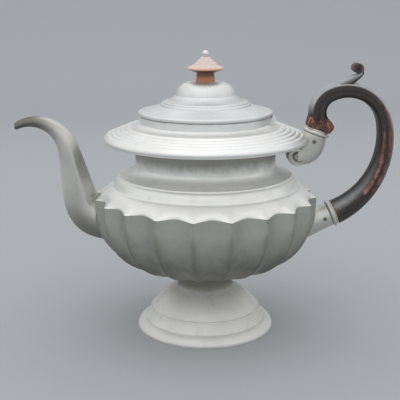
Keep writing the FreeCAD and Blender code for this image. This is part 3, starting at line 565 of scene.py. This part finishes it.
def lofted(name, rings, finish, loop=False, reach=10, depth=0.12):
    """A skin through rings of points in millimetres, closed at both ends, or joined end to end in a loop."""
    count = len(rings[0])
    faces = []
    for row in range(len(rings) if loop else len(rings) - 1):
        here = row * count
        there = (row + 1) % len(rings) * count
        for index in range(count):
            beside = (index + 1) % count
            faces.append((here + index, here + beside, there + beside, there + index))
    if not loop:
        faces.append(tuple(range(count)))
        faces.append(tuple(range((len(rings) - 1) * count, len(rings) * count)))
    mesh = bpy.data.meshes.new(name)
    mesh.from_pydata([Vector(point) * MM for ring in rings for point in ring], [], faces)
    face_out(mesh)
    mesh.materials.append(finish)
    mark_wear(mesh, reach, depth * MM)
    piece = bpy.data.objects.new(name, mesh)
    bpy.context.scene.collection.objects.link(piece)
    return piece


spout_at, SPOUT_LENGTH = path((-70.0, 87.6), 180.0, [
    (3.5, 0), (23.0, -77.6), (38.2, 0), (26.5, 77.6), (24.0, 22.0), (4.6, 0)])
SPOUT_WALL = 1.4
ARRIS_DEGREES = (0, 70, 150, 210, 290, 360)
SPOUT_ARRISES = [math.radians(degrees) for degrees in ARRIS_DEGREES]
MOUTH_TILT = math.radians(38)
MOUTH_FACING = Vector((-math.sin(MOUTH_TILT), math.cos(MOUTH_TILT)))
mouth_place = spout_at(SPOUT_LENGTH)[0] + MOUTH_FACING * 1.9
BEAK_END = -142.9
TIP_TALL, TIP_WIDE = 3.3, 4.6
ROOT_TALL, ROOT_WIDE = 13.7, 8.9
BREAST = 1.7
LIP_ROUND = 0.35
SKIN_ROWS = 100
BORE_ROWS = 60


def smooth_step(value):
    """A rise from 0 to 1 with soft ends."""
    value = min(max(value, 0.0), 1.0)
    return value * value * (3 - 2 * value)


def spout_point(share, turn, inset):
    """A place on the spout's skin at a share of its length and a turn round it, 0 towards the pot."""
    left = max(1 - share, 0.0) ** 1.12
    inset *= 1 - 0.5 * smooth_step((share - 0.7) / 0.25)
    breast = smooth_step((0.62 - share) / 0.3) * smooth_step((share - 0.04) / 0.14)
    tall = TIP_TALL + left * ROOT_TALL - 0.6 * min(max((share - 0.6) / 0.3, 0.0), 1.0) - inset
    tall += BREAST * breast * max(-math.cos(turn), 0.0)
    wide = TIP_WIDE + left * ROOT_WIDE - inset
    for first, last in zip(SPOUT_ARRISES, SPOUT_ARRISES[1:]):
        if first <= turn <= last:
            break
    middle, half = (first + last) / 2, (last - first) / 2
    flat = math.cos(half) / math.cos(turn - middle)
    faceted = smooth_step((share - 0.12) / 0.2) * smooth_step((0.68 - share) / 0.2)
    size = 1 + 0.9 * faceted * (flat - 1)
    place, heading = spout_at(share * SPOUT_LENGTH)
    return off_path(place, heading, -tall * size * math.cos(turn), wide * size * math.sin(turn))


def spout_line(turn, inset, count):
    """Places along the spout's skin at one turn round it, from the bowl to the mouth."""
    start = crossing(lambda share: outside(spout_point(share, turn, inset)), 0.0, 0.3)

    def past_mouth(share):
        place = spout_point(share, turn, inset)
        return place.x < BEAK_END or (Vector((place.x, place.z)) - mouth_place).dot(MOUTH_FACING) > 0

    end = crossing(past_mouth, 0.75, 1.0)
    return [spout_point(start + (end - start) * part / (count - 1), turn, inset) for part in range(count)]


beside_arrises = [(arris + step) % 360 for arris in ARRIS_DEGREES[:-1] for step in (-1.5, 1.5)]
SPOUT_TURNS = [math.radians(degrees) for degrees in sorted([*range(0, 360, 5), *beside_arrises])]
skin = [spout_line(turn, 0.0, SKIN_ROWS) for turn in SPOUT_TURNS]
bore = [spout_line(turn, SPOUT_WALL, BORE_ROWS) for turn in SPOUT_TURNS]
proud = Vector((MOUTH_FACING.x, 0, MOUTH_FACING.y)) * LIP_ROUND
lip = [(outside_line[-1] + inside_line[-1]) / 2 + proud for outside_line, inside_line in zip(skin, bore)]
SPOUT_PEWTER = pewter("spout_pewter", (0.60, 0.595, 0.56), (0.56, 0.55, 0.515), 0.3, 0.0,
                      rubbed=(0.68, 0.675, 0.64))
spout = lofted("spout", [*zip(*skin), lip, *list(zip(*bore))[::-1]], SPOUT_PEWTER, loop=True)

# Painted shade darkens the belly on the side over the bowl; tarnish and painted shade darken the beak, less
# so along its top where the light falls
tarnish_and_shade = []
for row in range(SKIN_ROWS + 1 + BORE_ROWS):
    for turn in SPOUT_TURNS:
        top = smooth_step((math.cos(turn) - 0.6) / 0.25) * smooth_step((88 - row) / 12)
        beak = smooth_step((row - 60) / 28) * (1 - 0.75 * top)
        belly = smooth_step((0.55 - math.cos(turn)) / 1.2) * smooth_step((36 - row) / 30)
        tarnish_and_shade.append(max(0.92 * beak, 0.7 * belly))
store(spout.data, "tarnish_and_shade", tarnish_and_shade)
finished(spout, "pot", "pewter", "spout")
refinish(SPOUT_PEWTER, "spout_strainer")

# Sockets: two tin alloy castings that take the handle's tenons, each with a rounded ring at its mouth.
# The upper one curls in under the collar's rim and ends in a volute; the lower one flares onto the flutes.
# An iron pin is riveted across each of them through the tenon.
HANDLE_START = Vector((85.5, 156.9))
HANDLE_LEGS = [(12.6, 0), (15.3, -63.8), (30.3, -103.2), (63.0, -79.0)]
handle_at, HANDLE_LENGTH = path(HANDLE_START, 90.0, HANDLE_LEGS)
UPPER_HEADING = math.radians(250.0)
HANDLE_END, LOWER_HEADING = handle_at(HANDLE_LENGTH)
SOCKET_TURNS = [2 * math.pi * index / 64 for index in range(64)]
SOCKET_TALL, SOCKET_WIDE = 9.4, 9.2
SOCKET_STEPS = 40
RING_END = 5.5
MOUTH_KEYS = [(0.0, -4.0), (0.0, 0.0), (0.12, 0.3), (0.45, 0.5), (0.85, 0.45), (1.1, 0.2), (1.25, 0.35),
              (1.6, 0.95), (2.1, 1.35), (2.7, 1.5), (3.3, 1.3), (3.75, 0.8), (4.0, 0.1), (4.15, -0.3),
              (4.4, -0.35), (4.75, -0.1), (5.1, 0.0)]


def oval_ring(place, heading, tall, wide):
    """An oval of points square to a heading."""
    return [off_path(place, heading, tall * math.cos(turn), wide * math.sin(turn)) for turn in SOCKET_TURNS]


def mouth_ring(place, heading):
    """Rings of points for the rounded ring at a socket's mouth and the fine groove behind it."""
    rings = []
    for way, proud in MOUTH_KEYS:
        spot = place + towards(heading) * (0.2 + way)
        rings.append(oval_ring(spot, heading, SOCKET_TALL + proud, SOCKET_WIDE + proud))
    return rings


def weights_at(share, middle):
    """What three values weigh at a share, on a smooth curve through them at 0, a middle share and 1."""
    return ((1 - share / middle) * (1 - share), share * (1 - share) / (middle * (1 - middle)),
            share * (share - middle) / (1 - middle))


def joined(*pieces):
    """Pieces made one, in the first one's place."""
    with bpy.context.temp_override(active_object=pieces[0], selected_editable_objects=list(pieces)):
        bpy.ops.object.join()
    return pieces[0]


SOCKET_PEWTER = pewter("socket_pewter", (0.51, 0.505, 0.465), (0.45, 0.44, 0.40), 0.5, 0.0, dirt=0.95)
VOLUTE_RADIUS = 7.6
VOLUTE_FACE = 5.7
VOLUTE_EYE = 0.9
VOLUTE_STEPS = 38
horn_at, HORN_LENGTH = path(HANDLE_START, 250.0, [(13.4, 0), (11.4, -70.0)])
horn_halves = (9.5, 10.6, VOLUTE_RADIUS)
horn_rings = mouth_ring(HANDLE_START, UPPER_HEADING)
for part in range(SOCKET_STEPS + 1):
    share = part / SOCKET_STEPS
    place, heading = horn_at(RING_END + share * (HORN_LENGTH - RING_END))
    tall = sum(half * weight for half, weight in zip(horn_halves, weights_at(share, 0.5)))
    horn_rings.append(oval_ring(place, heading, tall, SOCKET_WIDE - 2.4 * share))
upper_socket = lofted("upper_socket", horn_rings, SOCKET_PEWTER)
volute_place = horn_at(HORN_LENGTH)[0]


def volute_depth(radius, turn):
    """How far the volute's side stands off the middle plane: a band that winds out from a domed eye."""
    winding = math.log(max(radius, VOLUTE_EYE) / VOLUTE_EYE) / 1.2 - turn / (2 * math.pi)
    band = (0.5 + 0.5 * math.cos(2 * math.pi * winding)) * min(1.0, max(radius - VOLUTE_EYE, 0.0))
    eye = max(0.0, 1 - (radius / 1.7) ** 2)
    rounding = max(0.0, radius - 6.6) ** 2
    return VOLUTE_FACE + max(band, 0.0) ** 0.7 + 0.9 * eye - 0.5 * rounding


volute_rings = []
for side, parts in ((-1, range(1, VOLUTE_STEPS + 1)), (1, range(VOLUTE_STEPS, 0, -1))):
    for radius in (VOLUTE_RADIUS * part / VOLUTE_STEPS for part in parts):
        ring = []
        for turn in SOCKET_TURNS:
            spot = volute_place + towards(turn) * radius
            ring.append(Vector((spot.x, side * volute_depth(radius, turn), spot.y)))
        volute_rings.append(ring)
volute = lofted("volute", volute_rings, SOCKET_PEWTER)
sunk = [smooth_step((VOLUTE_FACE + 1.05 - abs(point.y)) / 0.7) for ring in volute_rings for point in ring]
store(volute.data, "tarnish_and_shade", [0.6 * amount for amount in sunk])
finished(joined(upper_socket, volute), "pot", "pewter", "upper_socket")

lower_rings = mouth_ring(HANDLE_END, LOWER_HEADING)
lower_way = towards(LOWER_HEADING)
lower_keys = [(HANDLE_END + lower_way * RING_END, LOWER_HEADING, SOCKET_TALL, SOCKET_WIDE),
              (HANDLE_END + lower_way * 12.0, LOWER_HEADING, SOCKET_TALL, SOCKET_WIDE),
              (Vector((70.0, 81.0)), -math.pi, 15.5, 11.0)]


def lower_point(share, turn):
    """A place on the lower socket's skin, from its ring to inside the bowl."""
    weights = weights_at(share, 0.3)
    place = sum((key[0] * weight for key, weight in zip(lower_keys, weights)), Vector((0, 0)))
    sizes = zip(*(key[1:] for key in lower_keys))
    heading, tall, wide = (sum(size * weight for size, weight in zip(row, weights)) for row in sizes)
    return off_path(place, heading, tall * math.cos(turn), wide * math.sin(turn))


lower_lines = []
for turn in SOCKET_TURNS:
    end = crossing(lambda share: not outside(lower_point(share, turn)), 0.0, 1.0)
    lower_lines.append([lower_point(end * part / SOCKET_STEPS, turn) for part in range(SOCKET_STEPS + 1)])
lower_socket = lofted("lower_socket", [*lower_rings, *zip(*lower_lines)], SOCKET_PEWTER)
finished(lower_socket, "pot", "pewter", "lower_socket")


def dark_iron(name):
    """Blackened iron, mottled with dry brown rust."""
    material, tree, shader, place = new_finish(name)
    rust = eased(tree, noise(tree, place, 900, 6, 0.65), 0.45, 0.65)
    tree.links.new(blended(tree, rust, (0.20, 0.195, 0.18), (0.13, 0.09, 0.065)), shader.inputs["Base Color"])
    tree.links.new(sum_of(tree, "SUBTRACT", 0.9, rust), shader.inputs["Metallic"])
    tree.links.new(sum_of(tree, "MULTIPLY_ADD", rust, 0.3, 0.45), shader.inputs["Roughness"])
    bumped(tree, shader, rust, 0.3, 0.0002)
    return material


IRON = dark_iron("rivet_iron")
RIVET_WAY = 9.5
RIVET_PROFILE = [(-9.65, 0.2), (-9.6, 0.7), (-9.45, 1.1), (-9.25, 1.4), (-9.0, 1.55), (-8.6, 1.55),
                 (-8.5, 1.2)]
RIVET_PROFILE += [(-way, radius) for way, radius in RIVET_PROFILE[::-1]]
rivets = []
for place in (HANDLE_START + towards(UPPER_HEADING) * RIVET_WAY, HANDLE_END + lower_way * RIVET_WAY):
    rings = []
    for way, radius in RIVET_PROFILE:
        spots = [place + towards(turn) * radius for turn in SOCKET_TURNS[::2]]
        rings.append([Vector((spot.x, way, spot.y)) for spot in spots])
    rivets.append(lofted("rivets", rings, IRON))
finished(joined(*rivets), "pot", "fittings", "upper_handle_pin", "lower_handle_pin")

# Handle: a loop carved in hardwood and stained black, faceted, with a tenon in each socket.
# A leaf rises off its top bend and rolls up into a scroll for the thumb.
# The stain is rubbed brown on its edges.
HANDLE_STEPS = 150
HANDLE_SLIM = 5.14
SLIM_SHARE = 0.42
HANDLE_WIDE = 7.2
HANDLE_BEVEL = 2.6
HEEL_WAY = 12.2
HEEL_KNEE = 4.2


def ebonised_wood(name):
    """Hardwood stained black and waxed: rubbed red-brown by hands, with a pale sheen painted on as highlights
    on the wax.
    """
    material, tree, shader, place = new_finish(name)
    grain = noise(tree, stretched(tree, place, (900, 1400, 90)), 1.0, 6, 0.6)
    patches = noise(tree, place, 140, 6, 0.65)
    broad = noise(tree, place, 45, 3)
    wear = attribute(tree, "wear")
    rubbed = attribute(tree, "rubbed")
    edge = eased(tree, wear, -0.05, -0.8)
    worn = sum_of(tree, "MULTIPLY_ADD", sum_of(tree, "SUBTRACT", patches, 0.5), 1.7, rubbed)
    worn = sum_of(tree, "MULTIPLY_ADD", sum_of(tree, "SUBTRACT", grain, 0.5), 0.8, worn)
    worn = eased(tree, worn, 0.42, 0.85)
    bare = sum_of(tree, "MULTIPLY", eased(tree, worn, 0.6, 1.0), eased(tree, broad, 0.4, 0.7))
    mottled = sum_of(tree, "MULTIPLY_ADD", patches, 0.8, 0.4)
    # A pale sheen is painted on, mottled, as highlights where the wax catches the light.
    painted_sheen_mottled = sum_of(tree, "MULTIPLY", attribute(tree, "painted_sheen"), mottled)
    colour = blended(tree, eased(tree, grain, 0.4, 0.75), (0.008, 0.009, 0.012), (0.022, 0.024, 0.030))
    colour = washed(tree, colour, (edge, 0.4, (0.12, 0.105, 0.10)), (painted_sheen_mottled, 1.0, (0.56, 0.59, 0.61)),
                    (worn, 1.0, (0.20, 0.078, 0.055)), (bare, 0.8, (0.43, 0.24, 0.18)))
    tree.links.new(colour, shader.inputs["Base Color"])
    shader.inputs["Specular IOR Level"].default_value = 0.10
    shader.inputs["Coat Weight"].default_value = 0.04
    shader.inputs["Coat Roughness"].default_value = 0.3
    rough = sum_of(tree, "MULTIPLY_ADD", grain, 0.16, 0.26)
    tree.links.new(sum_of(tree, "MULTIPLY_ADD", worn, 0.16, rough), shader.inputs["Roughness"])
    bumped(tree, shader, sum_of(tree, "MULTIPLY_ADD", patches, 0.8, grain), 0.16, 0.0004)
    return material


def handle_half(share):
    """Half the handle's thickness: slimmest past the top, stoutest at the lower end."""
    if share < SLIM_SHARE:
        return HANDLE_SLIM + 1.4 * (1 - share / SLIM_SHARE)
    return HANDLE_SLIM + 4.1 * ((share - SLIM_SHARE) / (1 - SLIM_SHARE)) ** 1.3


def facet_ring(outer, inner, wide, inner_tall, inner_wide, ease=0.55):
    """Points, up and across, of a section with eight facets and eased corners."""
    side = [(outer, wide - HANDLE_BEVEL), (outer - HANDLE_BEVEL, wide), (inner_tall - inner, wide),
            (-inner, wide - inner_wide)]
    corners = [Vector(corner) for corner in side + [(up, -across) for up, across in reversed(side)]]
    ring = []
    for index, corner in enumerate(corners):
        before = corners[index - 1] - corner
        after = corners[(index + 1) % 8] - corner
        near = corner + before.normalized() * min(ease, before.length * 0.4)
        far = corner + after.normalized() * min(ease, after.length * 0.4)
        for share in (0.0, 0.33, 0.67, 1.0):
            ring.append(near.lerp(corner, share).lerp(corner.lerp(far, share), share))
        ring.append(corner + after * 0.5)
    return ring


handle_rings = []
rub = []
painted_sheen = []
for part in range(HANDLE_STEPS + 1):
    share = part / HANDLE_STEPS
    way = share * HANDLE_LENGTH
    place, heading = handle_at(way)
    half = handle_half(share)
    outer, inner, wide, tilt = half, half, HANDLE_WIDE, 0.0
    if way < HEEL_WAY:
        low = smooth_step(way / HEEL_KNEE)
        high = smooth_step((way - HEEL_KNEE) / (HEEL_WAY - HEEL_KNEE))
        outer = 8.8 + (7.9 - 8.8) * low + (half - 7.9) * high
        inner = 9.8 + 3.0 * low + (half - 12.8) * (1 - (1 - high) ** 1.6)
        wide = 9.0 - 1.8 * smooth_step(way / 7.0)
        tilt = math.radians(20.0) * (1 - smooth_step(way / HEEL_WAY))
    split = smooth_step((share - 0.45) / 0.4)
    inner_tall = HANDLE_BEVEL + (inner - HANDLE_BEVEL) * split
    ring = facet_ring(outer, inner, wide, inner_tall, HANDLE_BEVEL + 2.4 * split)
    handle_rings.append([off_path(place, heading - tilt, *point) for point in ring])
    ends = max(1 - smooth_step((way - 5.0) / 12.0), 1 - smooth_step((HANDLE_LENGTH - way - 1.0) / 5.0))
    lower = smooth_step((share - 0.42) / 0.2) * (1 - 0.5 * smooth_step((share - 0.8) / 0.1))
    outside_edge = 0.70 * smooth_step((share - 0.28) / 0.12) * (1 - 0.7 * smooth_step((share - 0.78) / 0.1))
    # Painted sheen: the outer bevel is painted pale as a highlight past the top bend, and the lower inner
    # facets get a painted pale sheen.
    pale = 0.85 * smooth_step((way - 10.0) / 10.0) * (1 - 0.72 * smooth_step((share - 0.42) / 0.14))
    pale *= 1 - smooth_step((share - 0.70) / 0.14)
    sheen = 0.66 * smooth_step((share - 0.58) / 0.4)
    for corner in range(8):
        amount = {1: outside_edge, 6: outside_edge, 0: outside_edge * 0.6, 7: outside_edge * 0.6,
                  2: 0.85 * lower, 5: 0.85 * lower}.get(corner, 0.0)
        rub += [max(amount, 0.66 * ends)] * 4
        rub.append(max(amount * 0.3, 0.58 * ends))
        painted_sheen += [pale if corner in (0, 7) else 0.0] * 4
        painted_sheen.append({0: pale, 6: pale, 7: pale, 2: sheen, 4: sheen}.get(corner, 0.0))
HANDLE_WOOD = ebonised_wood("ebonised_handle_wood")
handle = lofted("handle", handle_rings, HANDLE_WOOD, reach=6, depth=0.10)

# The thumb leaf is one strip, thick where it grows out of the handle, thin where it rolls into the scroll
LEAF_STEPS = 36
LEAF_WIDE = 5.6
CURL_STEPS = 64
CURL_WORN = 22
TOP_BEND = HANDLE_LEGS[2][0]
top_start, top_heading = handle_at(HANDLE_LEGS[0][0] - HANDLE_LEGS[1][0] * math.radians(HANDLE_LEGS[1][1]))
TOP_CENTRE = top_start + Vector((math.sin(top_heading), -math.cos(top_heading))) * TOP_BEND
LEAF_KEYS = [(116.0, 1.6, 5.0), (108.0, 2.6, 5.4), (100.0, 4.0, 5.6), (93.0, 5.1, 5.6), (87.4, 6.6, 5.2),
             (83.2, 8.5, 4.4), (79.6, 10.6, 3.2), (77.2, 12.5, 2.4), (76.2, 14.3, 2.1)]
CURL_PLACE = TOP_CENTRE + towards(math.radians(81.3)) * 46.9


def along_keys(values, share):
    """A smooth run through evenly spaced values."""
    spot = share * (len(values) - 1)
    index = min(int(spot), len(values) - 2)
    near, first, last, far = (values[min(max(index + step, 0), len(values) - 1)] for step in (-1, 0, 1, 2))
    part = spot - index
    cubic = 3 * (first - last) + far - near
    square = 2 * near - 5 * first + 4 * last - far
    return first + 0.5 * part * (last - near + part * (square + part * cubic))


leaf_line = []
for part in range(LEAF_STEPS):
    degrees, rise, thick = (along_keys(values, part / LEAF_STEPS) for values in zip(*LEAF_KEYS))
    leaf_line.append((TOP_CENTRE + towards(math.radians(degrees)) * (TOP_BEND + rise), thick))
for part in range(CURL_STEPS):
    share = part / (CURL_STEPS - 1)
    angle = math.radians(-30.0 + 640.0 * share)
    leaf_line.append((CURL_PLACE + towards(angle) * (3.5 - 2.8 * share), 2.1 - 0.5 * share))
leaf_rings = []
for index, (spot, thick) in enumerate(leaf_line):
    ahead = leaf_line[min(index + 1, len(leaf_line) - 1)][0] - leaf_line[max(index - 1, 0)][0]
    heading = math.atan2(ahead.y, ahead.x)
    half = thick / 2
    wide = LEAF_WIDE - 0.5 * max(index - LEAF_STEPS, 0) / (CURL_STEPS - 1)
    bevel = 0.5 + 1.9 * smooth_step((20 - index) / 14)
    side = [(wide - bevel, half), (wide - bevel * 0.45, half - bevel * 0.5),
            (wide, min(half * 0.4, half - bevel)), (wide, -half * 0.4), (wide - 0.12, 0.15 - half),
            (wide - 0.5, -half)]
    other_side = [(-across, up) for across, up in reversed(side)]
    ring = [(-wide / 2, half), (0, half), (wide / 2, half), *side, (wide / 2, -half), (0, -half),
            (-wide / 2, -half), *other_side]
    leaf_rings.append([off_path(spot, heading, up, across) for across, up in ring])
leaf = lofted("thumb_leaf", leaf_rings, HANDLE_WOOD, reach=4, depth=0.10)
around = len(leaf_rings[0])
leaf_rub = [0.0] * (around * LEAF_STEPS)
for index in range(CURL_STEPS):
    leaf_rub += [0.62 if index < CURL_WORN else 0.1] * around
# The leaf's top faces are painted pale as a highlight.
leaf_painted_sheen = ([0.8] * 5 + [0.4] + [0.0] * 9 + [0.4] + [0.8] * 2) * LEAF_STEPS + [0.0] * (around * CURL_STEPS)
for piece, label, amounts in ((handle, "rubbed", rub), (leaf, "rubbed", leaf_rub), (handle, "painted_sheen", painted_sheen),
                              (leaf, "painted_sheen", leaf_painted_sheen)):
    store(piece.data, label, amounts)
finished(joined(handle, leaf), "pot", "handle_wood", "handle")

# Lid: spun in sheet tin alloy, with a domed crown, a cove, two beads and a broad brim over the seat.
# A ring soldered under the brim centres it in the mouth, and a middle knuckle hangs it on the hinge.
LID_PEWTER = pewter("lid_pewter", (0.74, 0.755, 0.765), (0.70, 0.71, 0.715), 0.15, 0.25, dirt=0.4)
lid = turned("lid", drawn([
    (1.45, 193.0, 0), (12.4, 193.0, 72), (22.8, 183.4, -40), (31.0, 178.9, 96), (32.6, 177.4, 96),
    (34.4, 175.8, -7), (49.9, 171.4, 50), (50.9, 170.4, 0), (50.9, 168.9, 0), (43.1, 168.9, 0),
    (43.1, 170.2, 0), (33.1, 174.5, 0), (22.1, 182.7, -66), (11.7, 191.7, 0), (1.45, 191.7, 0)]), LID_PEWTER)
finished(lid, "lid", "pewter", "lid")
refinish(LID_PEWTER, "lid_flange", "lid_hinge_leaf", "body_hinge_leaf")

# Finial: an umbrella turned in pale fruitwood on a short waisted stem, ringed on top by the turner's chisel.
# Its top is painted paler as a highlight, and under the cap it is painted dark brown as shadow.


def finial_wood(name):
    """Turned fruitwood: orange at the edge and down the stem, painted pale pinkish on top as a highlight and
    dark brown under the cap as shadow.
    """
    material, tree, shader, place = new_finish(name)
    parts = tree.nodes.new("ShaderNodeSeparateXYZ")
    tree.links.new(place, parts.inputs[0])
    grain = noise(tree, stretched(tree, place, (900, 900, 160)), 1.0, 5, 0.6)
    blotch = noise(tree, place, 320, 4)
    wear = attribute(tree, "wear")
    height = parts.outputs[2]
    ragged = sum_of(tree, "MULTIPLY_ADD", blotch, 0.003, height)
    # Painted highlight makes the cap's top pale pinkish; painted shadow makes it dark brown under the cap,
    # down to the stem's lower part.
    colour = blended(tree, eased(tree, ragged, 0.2040, 0.2075), (0.80, 0.50, 0.36), (0.72, 0.60, 0.57))
    colour = washed(tree, colour, (eased(tree, height, 0.2028, 0.2018), 1.0, (0.15, 0.075, 0.05)),
                    (eased(tree, ragged, 0.2000, 0.1968), 1.0, (0.46, 0.20, 0.10)),
                    (eased(tree, grain, 0.45, 0.75), 0.30, (0.30, 0.11, 0.06)),
                    (eased(tree, wear, 0.2, 0.9), 0.6, (0.25, 0.12, 0.08)),
                    (eased(tree, wear, -0.2, -0.9), 0.4, (0.80, 0.62, 0.54)))
    tree.links.new(colour, shader.inputs["Base Color"])
    tree.links.new(sum_of(tree, "MULTIPLY_ADD", grain, 0.2, 0.33), shader.inputs["Roughness"])
    bumped(tree, shader, sum_of(tree, "MULTIPLY_ADD", blotch, 0.6, grain), 0.25, 0.0003)
    return material


FINIAL_WOOD = finial_wood("turned_fruitwood")
cap_rings = [(2.7, 211.5, 44), (4.8, 209.7, 44), (6.8, 207.7, 44), (8.9, 205.7, -16), (12.9, 204.2, 40)]
finial = turned("finial", drawn([
    (1.45, 211.7, 0), *cap_rings, (13.8, 203.2, 70), (12.6, 202.0, 0), (6.7, 199.8, -16), (7.4, 193.0, 0),
    (1.45, 193.0, 0)], edge=0.2, step=0.6), FINIAL_WOOD, steps=128)
finished(finial, "lid", "finial_wood", "finial")

# Fittings: the stud whose bead shows on the finial, its washer and nut under the lid, and the hinge's pin.
# They are of hard white metal, turned bright; the pin is a drawn rod of the lid's alloy.
WHITE_METAL = pewter("white_metal", (0.80, 0.79, 0.77), (0.72, 0.71, 0.68), 0.3, 0.5)
refinish(WHITE_METAL, "finial_stud", "finial_washer", "finial_nut")
refinish(LID_PEWTER, "hinge_pin")

# Studio: a plain floor that curves up into a backdrop, a broad soft lamp above and a weaker one in front.
# The camera stands before the middle of the pot and looks a little down on it.
CURVE_START = 1.2
CURVE_RADIUS = 0.5
FLOOR_HALF = 4.0
floor_mesh = bpy.data.meshes.new("floor")
profile = [(-3.0, 0.0), (CURVE_START, 0.0)]
for degrees in range(10, 91, 10):
    angle = math.radians(degrees)
    profile.append((CURVE_START + CURVE_RADIUS * math.sin(angle), CURVE_RADIUS * (1 - math.cos(angle))))
profile.append((CURVE_START + CURVE_RADIUS, 0.8))
floor_mesh.from_pydata([(side * FLOOR_HALF, y, z) for y, z in profile for side in (-1, 1)], [],
                       [(2 * row, 2 * row + 1, 2 * row + 3, 2 * row + 2) for row in range(len(profile) - 1)])
floor_mesh.polygons.foreach_set("use_smooth", [True] * len(floor_mesh.polygons))
floor = bpy.data.objects.new("floor", floor_mesh)
bpy.context.scene.collection.objects.link(floor)
backdrop = bpy.data.materials.new("backdrop_paper")
backdrop.use_nodes = True
paper = backdrop.node_tree.nodes["Principled BSDF"].inputs
paper["Base Color"].default_value = (0.41, 0.43, 0.45, 1.0)
paper["Roughness"].default_value = 0.9
floor_mesh.materials.append(backdrop)


def lamp(name, power, size, place, target):
    """A square soft lamp aimed at a point."""
    light = bpy.data.lights.new(name, "AREA")
    light.energy = power
    light.size = size
    holder = bpy.data.objects.new(name, light)
    bpy.context.scene.collection.objects.link(holder)
    holder.location = place
    holder.rotation_euler = (Vector(target) - Vector(place)).to_track_quat("-Z", "Y").to_euler()


POT_MIDDLE = (0, 0, 0.1)
lamp("overhead_lamp", 4.5, 2.0, (-0.1, 0.1, 1.6), POT_MIDDLE)
lamp("front_lamp", 2.0, 1.5, (-0.35, -1.4, 1.5), POT_MIDDLE)
world = bpy.data.worlds.new("studio_air")
bpy.context.scene.world = world
world.use_nodes = True
air = world.node_tree.nodes["Background"].inputs
air["Color"].default_value = (0.89, 0.90, 0.91, 1.0)
air["Strength"].default_value = 1.0

camera_data = bpy.data.cameras.new("camera")
camera_data.lens = 77.67
camera_data.sensor_width = 36.0
camera = bpy.data.objects.new("camera", camera_data)
bpy.context.scene.collection.objects.link(camera)
CAMERA_TURN = math.radians(3.0)
CAMERA_DIP = math.radians(13.87)
CAMERA_WAY, CAMERA_SHIFT, CAMERA_HEIGHT = 0.650, 0.0041, 0.262
camera.location = (-CAMERA_WAY * math.sin(CAMERA_TURN) - CAMERA_SHIFT * math.cos(CAMERA_TURN),
                   -CAMERA_WAY * math.cos(CAMERA_TURN) + CAMERA_SHIFT * math.sin(CAMERA_TURN), CAMERA_HEIGHT)
camera.rotation_euler = (math.radians(90) - CAMERA_DIP, 0, -CAMERA_TURN)
bpy.context.scene.camera = camera
bpy.context.scene.view_settings.view_transform = "Standard"
